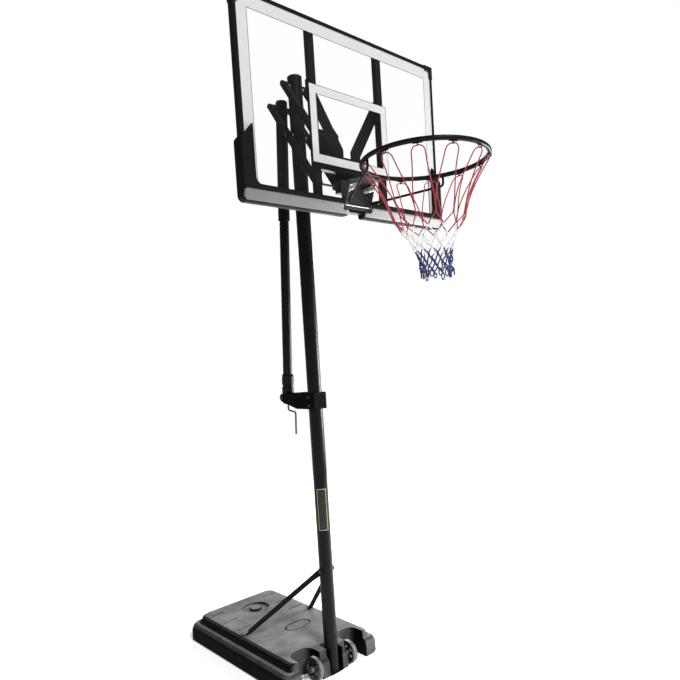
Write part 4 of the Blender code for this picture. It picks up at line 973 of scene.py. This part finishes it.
@dataclass
class Net:
    """The knotted net: two sets of cords that cross at the knots and end in loops.

    Levels are rows of knots counted down from the hooks. From tangle_from on the cords sway about, and the
    whole net leans a little more the lower it is. Taper and spacing are the powers by which the rows get
    narrower and lower.
    """

    cord_radius: float = 0.0023
    arch: float = 0.42
    arch_end: float = 0.13
    bow: float = 0.012
    weave: float = 0.0012
    swing: float = 0.001
    hook_swing: float = 0.005
    tangle: float = 0.0085
    tangle_from: float = 4.2
    tangle_turn: float = 6.0
    foot_cord: float = 0.0030
    foot_points: int = 15
    loop_drop: float = 0.016
    loop_width: float = 0.0060
    knot_cord: float = 0.0018
    lean: tuple[float, float] = (0.022, -0.020)
    lean_height: float = 0.41
    rows: int = 7
    mouth: tuple[float, float] = (RING_RADIUS, 2.2325)
    first: tuple[float, float] = (0.136, 2.030)
    last: tuple[float, float] = (0.057, 1.832)
    taper: float = 2.2
    spacing: float = 0.88

    def __post_init__(self) -> None:
        """Work out the radius and height of each row of knots."""
        self.levels = [self.mouth]
        for row in range(self.rows):
            down = row / (self.rows - 1)
            radius = self.last[0] + (self.first[0] - self.last[0]) * (1 - down) ** self.taper
            z = self.first[1] + (self.last[1] - self.first[1]) * down ** self.spacing
            self.levels.append((radius, z))

    def spot(self, level: float, turn: float, out: float = 0.0) -> Vector:
        """A point on the net's bell.

        Args:
            level: Row, counted from the hooks, with parts of a row.
            turn: The way round, in radians.
            out: How far it stands out of the bell.

        Returns:
            The point.
        """
        row = min(int(level), self.rows - 1)
        share = level - row
        if level < self.arch_end:
            share *= level / self.arch_end
        (r0, z0), (r1, z1) = self.levels[row], self.levels[row + 1]
        bow = -self.bow * math.sin(math.pi * share) if row == 0 else 0.0
        radius, z = r0 + (r1 - r0) * share + bow + out, z0 + (z1 - z0) * share
        drop = ((self.mouth[1] - z) / self.lean_height) ** 2
        return at(radius * math.cos(turn) + self.lean[0] * drop,
                  RING_Y + radius * math.sin(turn) + self.lean[1] * drop, z)

    def spread(self, level: float) -> float:
        """How far a cord has wound from its hook, in half meshes, arching out over the hook first.

        Args:
            level: Row, counted from the hooks.

        Returns:
            The distance in half meshes.
        """
        if level >= 1:
            return level
        over = min(level / self.arch_end, 1.0)
        return self.arch * (1 - (1 - over) ** 2) + (1 - self.arch) * level * level * (3 - 2 * level)

    def strand(self, hook: int, way: int) -> list[Vector]:
        """One cord from its hook down to its end, stepping half a mesh a row.

        Args:
            hook: The hook's number.
            way: 1 or -1 for the way it winds.

        Returns:
            Its points.
        """
        points = []
        # Close steps over the hook, eight to the first knot and six for each row below it
        steps = [self.arch_end * k / 5 for k in range(5)]
        steps += [self.arch_end + (1 - self.arch_end) * k / 8 for k in range(8)]
        steps += [1 + k / 6 for k in range((self.rows - 1) * 6 + 1)]
        for level in steps:
            row, share = int(level), level - int(level)
            swing = way * math.sin(2 * math.pi * share)
            swing *= self.swing / self.levels[row][0] if row else self.hook_swing
            # The sines stand in for chance, so that each build gives the same net
            loose = max(level - self.tangle_from, 0.0) / (self.rows - self.tangle_from)
            sway = self.tangle * loose * math.sin(hook * 2.4 + way * 1.3 + level * 4.1)
            turn = hook_turn(hook + way * self.spread(level) / 2) - swing + sway * self.tangle_turn
            points.append(self.spot(level, turn, way * self.weave * math.cos(math.pi * level) + sway))
        return points

    def loops(self) -> list[list[Vector]]:
        """The small loops that hang from the lowest knots."""
        found = []
        for k in range(HOOKS):
            turn = hook_turn(k + (self.rows % 2) / 2)
            low = self.spot(self.rows, turn, self.tangle * math.sin(k * 2.4))
            across = (away(turn + math.pi / 2) + away(turn) * 0.35 * math.sin(k * 1.7)) * self.loop_width
            half = self.loop_drop * (0.75 + 0.35 * math.sin(k * 3.1))
            found.append([low + across * math.sin(a) + Vector((0, 0, half * (math.cos(a) - 0.8)))
                          for a in turns(16)])
        return found

    def knot(self, material: bpy.types.Material) -> bpy.types.Object:
        """One overhand knot, its cord wound three times through itself.

        Args:
            material: The cord's finish.

        Returns:
            The knot at the origin.
        """
        points = []
        for t in turns(20):
            reach = 0.0026 + 0.0011 * math.cos(3 * t)
            points.append((reach * math.cos(2 * t), reach * math.sin(2 * t), 0.0014 * math.sin(3 * t)))
        return tube("knot_shape", [points], self.knot_cord, 6, material, True)

    def build(self, finishes: Finishes) -> None:
        """Make and mount the cords, the loops and the knots.

        Args:
            finishes: The stand's finishes.
        """
        cord = finishes.cord
        lines = [self.strand(hook, way) for hook in range(HOOKS) for way in (-1, 1)]
        foot = [line[-self.foot_points:] for line in lines]
        mount(tube("net_cords", lines, self.cord_radius, 8, cord), Body.RIM, "net_cord", "net")
        mount(tube("net_foot_cords", foot, self.foot_cord, 8, cord), Body.RIM, "net_cord")
        mount(tube("net_end_loops", self.loops(), self.foot_cord * 0.8, 8, cord, True), Body.RIM, "net_cord")
        shape = self.knot(cord)
        spots = []
        for row in range(1, self.rows + 1):
            for k in range(HOOKS):
                turn = hook_turn(k + (row % 2) / 2)
                spots.append((self.spot(row, turn), away(turn, 0.2)))
        knots = stamps("net_knots", shape, spots, cord)
        bpy.data.objects.remove(shape, do_unlink=True)
        mount(knots, Body.RIM, "net_cord")


@dataclass
class Hoop:
    """The ring, its wire hooks for the net, its two rods and their springs.

    The rods run back under the ring and flat at their feet; rod_angle is their place round the ring in
    degrees. Springs lie along Y, and closed_turn is the rise of an end turn in radii of the wire.
    """

    height: float = 2.250
    bar: float = 0.009
    hook_radius: float = 0.0062
    hook_wire: float = 0.0020
    hook_bar: float = 0.0022
    hook_span: float = 0.017
    rod: float = 0.005
    rod_angle: float = 69.0
    rod_rise: float = 0.034
    rod_bend: float = 0.014
    rod_foot: tuple[float, float, float] = (0.0659, -0.3773, 2.174)
    coil_wire: float = 0.00175
    coil_radius: float = 0.01025
    coil_turns: int = 6
    closed_turn: float = 2.64
    spring_x: float = 0.050
    spring_z: float = 2.230
    spring_ends: tuple[float, float] = (-0.3573, -0.4088)

    def on_ring(self, turn: float, z: float) -> Vector:
        """A point over or under the ring's centre line."""
        return at(RING_RADIUS * math.cos(turn), RING_Y + RING_RADIUS * math.sin(turn), z)

    def hook_lines(self) -> list[list[Vector]]:
        """The closed wire loops under the ring."""
        low = self.height - self.bar - (self.hook_radius - self.hook_wire)
        found = []
        for k in range(HOOKS):
            out = away(hook_turn(k))
            middle = self.on_ring(hook_turn(k), low)
            found.append([middle + (out * math.cos(a) + Vector((0, 0, math.sin(a)))) * self.hook_radius
                          for a in turns(16)])
        return found

    def bar_lines(self) -> list[list[Vector]]:
        """The short wires under the ring that carry the loops."""
        low = self.height - self.bar - self.hook_bar * 0.5
        half = self.hook_span / RING_RADIUS
        return [[self.on_ring(a, low) for a in np.linspace(hook_turn(k) - half, hook_turn(k) + half, 7)]
                for k in range(HOOKS)]

    def rod_mesh(self, side: Side) -> bmesh.types.BMesh:
        """A rod whose lower end is pressed flat against its flange.

        Args:
            side: Left or right.

        Returns:
            The mesh.
        """
        top = self.on_ring(math.radians(90 - side.value * self.rod_angle), self.height - self.bar)
        elbow = top - Vector((0, 0, self.rod_rise))
        foot = at(side.value * self.rod_foot[0], self.rod_foot[1], self.rod_foot[2])
        along = (elbow - foot).normalized()
        flat = (Vector((1, 0, 0)) - along * along.x).normalized()
        up = Vector((0, 0, 1))
        # Share of the way up, then width and thickness against the round rod
        pressed = ((0.0, 1.45, 0.62), (0.02, 1.6, 0.62), (0.085, 1.6, 0.62), (0.13, 1.0, 1.0),
                   (0.5, 1.0, 1.0))
        sections = [(foot.lerp(elbow, share), along, wide, thin) for share, wide, thin in pressed]
        for share in np.linspace(0, 1, 5):
            before = (elbow - along * self.rod_bend).lerp(elbow, share)
            after = elbow.lerp(elbow + up * self.rod_bend, share)
            sections.append((before.lerp(after, share), along.lerp(up, share).normalized(), 1.0, 1.0))
        sections.append((top, up, 1.0, 1.0))
        rows = []
        for centre, way, wide, thin in sections:
            across = way.cross(flat).normalized()
            rows.append([centre + (across * wide * math.cos(a) + flat * thin * math.sin(a)) * self.rod
                         for a in turns(16)])
        return loft(rows, caps=True)

    def spring_line(self, side: Side) -> list[Vector]:
        """A helix round the spring's bolt, with end turns that lie close.

        Args:
            side: Left or right.

        Returns:
            Its points.
        """
        start, end = self.spring_ends[0] - self.coil_wire, self.spring_ends[1] + self.coil_wire
        tight = self.closed_turn * self.coil_wire / abs(end - start)
        once = 1 / self.coil_turns
        points = []
        for share in np.linspace(0, 1, self.coil_turns * 20 + 1):
            rise = float(np.interp(share, (0, once, 1 - once, 1), (0, tight, 1 - tight, 1)))
            a = 2 * math.pi * self.coil_turns * share
            points.append(at(side.value * self.spring_x + self.coil_radius * math.cos(a),
                             start + (end - start) * rise, self.spring_z + self.coil_radius * math.sin(a)))
        return points

    def build(self, finishes: Finishes) -> None:
        """Make and mount the ring, hooks and rods, and make the springs without mounting them.

        Args:
            finishes: The stand's finishes.
        """
        steel = finishes.steel
        ring_line = [self.on_ring(a, self.height) for a in turns(96)]
        mount(tube("hoop_bar", [ring_line], self.bar, 20, steel, True), Body.RIM, "black_steel", "rim_ring")
        mount(tube("net_hooks", self.hook_lines(), self.hook_wire, 8, steel, True), Body.RIM, "black_steel")
        mount(tube("hook_bars", self.bar_lines(), self.hook_bar, 8, steel), Body.RIM, "black_steel")
        for side in Side:
            mount(new_object("hoop_rod_" + side.word, self.rod_mesh(side), steel), Body.RIM, "black_steel")
            spring = tube("coil_" + side.word, [self.spring_line(side)], self.coil_wire, 10, finishes.bright)
            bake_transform(spring)
            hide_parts("spring_" + side.word)


@dataclass
class BoardPrint:
    """The white border and target square printed on the clear sheet, with thin dark lines along their edges
    as painted shade of the print's thickness.
    """

    face: float = -0.3487
    thick: float = 0.0002
    lift: float = 0.00005
    line_lift: float = 0.00010
    line: float = 0.0022
    half_width: float = 0.5465
    low: float = 2.1390
    high: float = 2.8645
    band: float = 0.047
    square_half: float = 0.223
    square_low: float = 2.314
    square_high: float = 2.623
    square_band: float = 0.037

    def band_mesh(self, outer: tuple[float, float, float], width: float, lift: float) -> bmesh.types.BMesh:
        """A rectangular band as one closed thin plate.

        Args:
            outer: Half width, lowest and highest height of its outside.
            width: Its width.
            lift: How far its back stands off the sheet.

        Returns:
            The mesh.
        """
        half, low, high = outer
        back, front = self.face - lift, self.face - lift - self.thick
        rows = []
        for inset, y in ((0.0, back), (width, back), (width, front), (0.0, front)):
            corners = ((-1, low + inset), (1, low + inset), (1, high - inset), (-1, high - inset))
            rows.append([at(sign * (half - inset), y, z) for sign, z in corners])
        return loft(rows, ring=True)

    def build(self, finishes: Finishes) -> None:
        """Make and mount the bands and the dark lines of painted shade along their edges.

        Args:
            finishes: The stand's finishes.
        """
        border = (self.half_width, self.low, self.high)
        square = (self.square_half, self.square_low, self.square_high)
        white = merged(self.band_mesh(border, self.band, self.lift),
                       self.band_mesh(square, self.square_band, self.lift))
        mount(new_object("white_bands", white, finishes.ink), Body.BOARD, "clear_acrylic")
        # The dark edge lines are painted shade along the border's inner edge and both edges of the square
        lines = []
        for (half, low, high), width in ((border, self.band), (square, self.square_band)):
            step = width - self.line
            lines.append(self.band_mesh((half - step, low + step, high - step), self.line, self.line_lift))
        lines.append(self.band_mesh(square, self.line, self.line_lift))
        mount(new_object("band_edge_lines", merged(*lines), finishes.outline), Body.BOARD, "clear_acrylic")


@dataclass
class Braces:
    """The two flat bars that lean out from the carrier and are trimmed along the stiles."""

    front: float = -0.3191
    back: float = -0.3111
    inner: float = 0.0235
    width: float = 0.052
    foot: float = 2.262
    bend: float = 2.3965
    lean: float = 33.0
    stile: tuple[float, float] = (0.1825, 0.2085)
    edge: float = 0.0008

    def outline(self) -> list[tuple[float, float]]:
        """Corners of the right bar as X and Z, from its foot round its inner edge."""
        slope = math.tan(math.radians(self.lean))
        miter = self.width / 2 * math.tan(math.radians(self.lean) / 2)
        outer = self.inner + self.width
        top = self.bend + miter + (self.stile[0] - self.inner) / slope
        return [(self.inner, self.foot), (self.inner, self.bend + miter), (self.stile[0], top),
                (self.stile[1], top), (self.stile[1], self.bend - miter + (self.stile[1] - outer) / slope),
                (outer, self.bend - miter), (outer, self.foot)]

    def build(self, finishes: Finishes) -> None:
        """Make and mount both bars.

        Args:
            finishes: The stand's finishes.
        """
        for side in Side:
            rows = [[at(side.value * x, y, z) for x, z in self.outline()] for y in (self.front, self.back)]
            bm = loft(rows, caps=True)
            bmesh.ops.bevel(bm, geom=bm.edges[:], offset=self.edge, segments=2, profile=0.5, affect="EDGES")
            piece = new_object("flat_brace_" + side.word, bm, finishes.steel)
            mount(piece, Body.BOARD, "black_steel", "brace_" + side.word)


@dataclass
class Pads:
    """The two moulded foam pads round the board's lower corners, with a lighter copy of the foam on their
    facets that face forward and down as painted light.
    """

    voxel: float = 0.0035
    rounds: int = 5
    painted_light_front: float = -0.70
    painted_light_lean: tuple[float, float] = (-0.55, -0.22)

    def build(self, finishes: Finishes) -> None:
        """Make each pad from its solid, softened, and mount it.

        Args:
            finishes: The stand's finishes.
        """
        for side in Side:
            node = "edge_pad_" + side.word
            bm = bmesh.new()
            bm.from_mesh(NODES[node].data)
            bmesh.ops.remove_doubles(bm, verts=bm.verts, dist=1e-5)
            pad = new_object("foam_pad_" + side.word, bm, finishes.foam, None)
            mesh_again = pad.modifiers.new("even", "REMESH")
            mesh_again.mode = "VOXEL"
            mesh_again.voxel_size = self.voxel
            soften = pad.modifiers.new("soften", "SMOOTH")
            soften.factor = 0.5
            soften.iterations = self.rounds
            settle(pad)
            pad.data.materials.clear()
            pad.data.materials.append(finishes.foam)
            pad.data.materials.append(finishes.painted_light_facet)
            # Facets facing forward and down take the lighter copy: painted light from below
            for polygon in pad.data.polygons:
                way = polygon.normal
                polygon.material_index = int(way.y < self.painted_light_front
                                             and self.painted_light_lean[0] < way.z < self.painted_light_lean[1])
            pad.data.shade_smooth()
            mount(pad, Body.BOARD, "pad_foam", node)


@dataclass
class Pole:
    """Three nested tubes with rounded lips, and the bare place of a label."""

    radius: float = 0.0337
    wall: float = 0.002
    lip: float = 0.0006
    play: float = 0.0003
    chamfer: float = 0.0012
    overlap: float = 0.070
    foot: float = 0.0118
    seams: tuple[float, float] = (0.980, 1.900)
    top: float = 2.822
    label_low: float = 0.710
    label_high: float = 0.910
    label_turn: float = -128.0
    label_width: float = 0.046
    label_rim: tuple[float, float] = (0.00225, 0.0025)
    label_thick: float = 0.0002

    def section(self, low: float, high: float, neck: bool) -> bmesh.types.BMesh:
        """One tube with a lip at its upper end and a narrower neck below.

        Args:
            low: Its lower seam.
            high: Its upper end.
            neck: Whether it goes into the tube below.

        Returns:
            The mesh.
        """
        outer, inner, lip = self.radius, self.radius - self.wall, self.lip
        profile = [(inner, high), (inner + 0.0005, high), (outer - lip, high), (outer, high - lip)]
        if neck:
            # A chamfer at the seam, then the narrower tube that stands inside the one below
            small, seam = inner - self.play, low + self.play
            profile += [(outer, seam + self.chamfer), (outer - self.chamfer, seam), (small, seam),
                        (small, low - self.overlap), (small - self.wall, low - self.overlap),
                        (small - self.wall, low + 0.004), (inner, low + 0.012)]
        else:
            profile += [(outer, low + lip), (outer - lip, low), (inner, low)]
        return placed(turned(profile, 64, ring=True), at(0, 0, 0))

    def label(self, inset: tuple[float, float], lift: float) -> bmesh.types.BMesh:
        """A thin patch that follows the pole.

        Args:
            inset: How far its edges stay inside the label's, across and up.
            lift: How far it stands off the tube.

        Returns:
            The mesh.
        """
        low, high = self.label_low + inset[1], self.label_high - inset[1]
        inner, outer = self.radius + lift, self.radius + lift + self.label_thick
        middle, half = math.radians(self.label_turn), (self.label_width / 2 - inset[0]) / self.radius
        return loft([[at(radius * math.cos(t), radius * math.sin(t), z) for radius, z in
                      ((inner, low), (inner, high), (outer, high), (outer, low))]
                     for t in np.linspace(middle - half, middle + half, 13)], caps=True)

    def build(self, finishes: Finishes) -> None:
        """Make and mount the tubes and the label's place.

        Args:
            finishes: The stand's finishes.
        """
        cuts = (("lower", self.foot, self.seams[0], False), ("middle", self.seams[0], self.seams[1], True),
                ("upper", self.seams[1], self.top, True))
        for word, low, high, neck in cuts:
            piece = new_object("tube_" + word, self.section(low, high, neck), finishes.satin, 40)
            mount(piece, Body.BASE, "satin_black_steel", "pole_" + word)
        edge = new_object("label_edge", self.label((0.0, 0.0), 0.0001), finishes.label_line)
        patch = new_object("label_patch", self.label(self.label_rim, 0.0002), finishes.label)
        mount(edge, Body.BASE, "black_plastic")
        mount(patch, Body.BASE, "black_plastic")


def hex_head() -> bmesh.types.BMesh:
    """A hex head with a chamfered crown on a washer, of unit radius and height, its seat at Z = 0."""
    washer = turned([(0, 0), (1.0, 0), (1.0, 0.13), (0.96, 0.16), (0, 0.16)], 18)
    crown = loft([[(radius * math.cos(a), radius * math.sin(a), z) for a in turns(6)]
                  for radius, z in ((0.86, 0.16), (0.86, 0.86), (0.74, 1.0))], caps=True)
    return merged(washer, crown)


@dataclass
class CrossBolt:
    """One bolt along X through its parts, with a hex head, washers and a nut."""

    node: str
    shank: float
    head: float
    head_thick: float

    def parts(self) -> list[bmesh.types.BMesh]:
        """Its head, its nut and its shank between them.

        Returns:
            The meshes in their places.
        """
        low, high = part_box(self.node)
        middle = (low + high) / 2
        first, second = (Vector((x, middle.y, middle.z)) for x in (low.x, high.x))
        along = (second - first).normalized()
        found = []
        for end, way in ((first, -along), (second, along)):
            head = hex_head()
            bmesh.ops.scale(head, vec=(self.head, self.head, self.head_thick), verts=head.verts)
            found.append(placed(head, end - way * self.head_thick, way))
        shank = turned([(0, 0), (self.shank, 0), (self.shank, 1), (0, 1)], 20)
        reach = (second - first).length - 2 * self.head_thick
        bmesh.ops.scale(shank, vec=(1, 1, reach), verts=shank.verts)
        found.append(placed(shank, first + along * self.head_thick, along))
        return found


class Bolts:
    """All bolts of the stand, one piece for each body."""

    def __init__(self) -> None:
        """List the bolts and their sizes."""
        self.on_base = [CrossBolt("strut_bolt", 0.005, 0.009, 0.006),
                        CrossBolt("jack_bracket_bolt_upper", 0.004, 0.0075, 0.005),
                        CrossBolt("jack_bracket_bolt_lower", 0.004, 0.0075, 0.005),
                        CrossBolt("jack_pivot_bolt", 0.005, 0.0095, 0.005),
                        CrossBolt("pivot_bolt_upper", 0.005, 0.0095, 0.006),
                        CrossBolt("pivot_bolt_lower", 0.005, 0.0095, 0.006)]
        self.on_board = [CrossBolt("front_pin_upper", 0.005, 0.0095, 0.006),
                         CrossBolt("front_pin_lower", 0.005, 0.0095, 0.006)]

    def build(self, finishes: Finishes) -> None:
        """Make and mount every bolt.

        Args:
            finishes: The stand's finishes.
        """
        for body, bolts in ((Body.BASE, self.on_base), (Body.BOARD, self.on_board)):
            whole = merged(*[part for bolt in bolts for part in bolt.parts()])
            piece = new_object("bolts_" + body.value, whole, finishes.oxide, 25)
            mount(piece, body, "zinc_bolts", *[bolt.node for bolt in bolts])


@dataclass
class Studio:
    """Pale floor, soft light and the camera of the photograph."""

    eye: tuple[float, float, float] = (-1.8458, -2.1936, 1.5387)
    heading: float = 41.882
    pitch: float = -3.464
    roll: float = -3.594
    focal: float = 603.60
    middle: tuple[float, float] = (333.65, 392.05)
    frame_size: float = 680.0
    sensor: float = 36.0
    fill: float = 0.15
    floor_glow: float = 0.22
    fade: tuple[float, float] = (1.5, 7.0)

    def camera(self) -> None:
        """Make the camera at the photograph's place."""
        a, p, r = (math.radians(v) for v in (self.heading, self.pitch, self.roll))
        ahead = Vector((math.sin(a) * math.cos(p), math.cos(a) * math.cos(p), math.sin(p)))
        right = Vector((math.cos(a), -math.sin(a), 0))
        up = right.cross(ahead)
        right_rolled = right * math.cos(r) + up * math.sin(r)
        up_rolled = -right * math.sin(r) + up * math.cos(r)
        data = bpy.data.cameras.new("photo_camera")
        data.sensor_width = self.sensor
        data.lens = self.focal / self.frame_size * self.sensor
        data.shift_x = (self.frame_size / 2 - self.middle[0]) / self.frame_size
        data.shift_y = (self.middle[1] - self.frame_size / 2) / self.frame_size
        data.clip_start, data.clip_end = 0.05, 100.0
        turn = Matrix((right_rolled, up_rolled, -ahead)).transposed()
        camera = add("photo_camera", data)
        camera.matrix_world = Matrix.Translation(at(*self.eye)) @ turn.to_4x4()
        bpy.context.scene.camera = camera

    def sun(self, name: str, direction: Point, strength: float, spread: float) -> None:
        """Add one distant light with soft shadows.

        Args:
            name: Its name.
            direction: Where it stands, seen from the pole.
            strength: Its strength in watts a square metre.
            spread: Its angular size in degrees.
        """
        data = bpy.data.lights.new(name, "SUN")
        data.energy, data.angle = strength, math.radians(spread)
        add(name, data).rotation_euler = (-Vector(direction)).to_track_quat("-Z", "Y").to_euler()

    def light(self, name: str, position: Point, target: Point, power: float, size: float) -> None:
        """Add one soft square light.

        Args:
            name: Its name.
            position: Where it hangs, from the pole.
            target: Where it points, from the pole.
            power: Its power in watts.
            size: The length of its side.
        """
        data = bpy.data.lights.new(name, "AREA")
        data.energy, data.size = power, size
        lamp = add(name, data)
        lamp.location = at(*position)
        lamp.visible_camera = False
        lamp.rotation_euler = (at(*target) - at(*position)).to_track_quat("-Z", "Y").to_euler()

    def floor_finish(self) -> bpy.types.Material:
        """A pale matt floor that runs into the white backdrop far from the stand.

        Returns:
            The material.
        """
        shader = Shader("pale_floor")
        shader.set(Roughness=0.9, Specular_IOR_Level=0.1, Emission_Color=(1.0, 1.0, 1.0, 1.0))
        span = shader.node("ShaderNodeVectorMath", {0: shader.coordinates}, operation="LENGTH")
        far = shader.ramp(span.outputs["Value"], *self.fade)
        shader.drive("Base Color", shader.mix(far, (0.90, 0.90, 0.90), (0.0, 0.0, 0.0)))
        shader.drive("Emission Strength", shader.between(far, self.floor_glow, 1.0))
        return shader.material

    def world(self) -> None:
        """A white backdrop that lights the stand more softly than it looks."""
        world = bpy.data.worlds.new("studio_world")
        world.use_nodes = True
        nodes = Nodes(world.node_tree)
        backdrop = nodes.tree.nodes["Background"]
        seen = nodes.node("ShaderNodeLightPath").outputs["Is Camera Ray"]
        nodes.feed(backdrop.inputs["Color"], (1.0, 1.0, 1.0, 1.0))
        nodes.feed(backdrop.inputs["Strength"], nodes.between(seen, self.fill, 1.0))
        bpy.context.scene.world = world
        bpy.context.scene.view_settings.view_transform = "Standard"

    def build(self) -> None:
        """Make the floor, the world, the lights and the camera."""
        bm = bmesh.new()
        bmesh.ops.create_grid(bm, x_segments=1, y_segments=1, size=60.0)
        floor = new_object("studio_floor", bm, self.floor_finish(), None)
        self.world()
        self.light("edge_light", (3.3, -0.9, 1.2), (0.0, 0.0, 1.4), 45.0, 0.7)
        self.sun("front_sun", (-0.10, -0.90, 0.90), 3.2, 14.0)
        self.light("deck_light", (3.0, 3.2, 2.1), (0.0, 0.4, 0.3), 165.0, 2.2)
        self.light("nose_light", (2.2, -1.1, 1.3), (0.2, 0.0, 0.1), 105.0, 0.8)
        self.camera()


def main() -> None:
    logging.basicConfig(level=logging.INFO, format="%(name)s: %(message)s")
    finishes = Finishes()
    dress(finishes)
    for assembly in (Net(), Hoop(), BoardPrint(), Braces(), Pads(), Pole(), Bolts()):
        assembly.build(finishes)
        LOG.info("%s done", type(assembly).__name__)
    Studio().build()


if __name__ == "__main__":
    main()
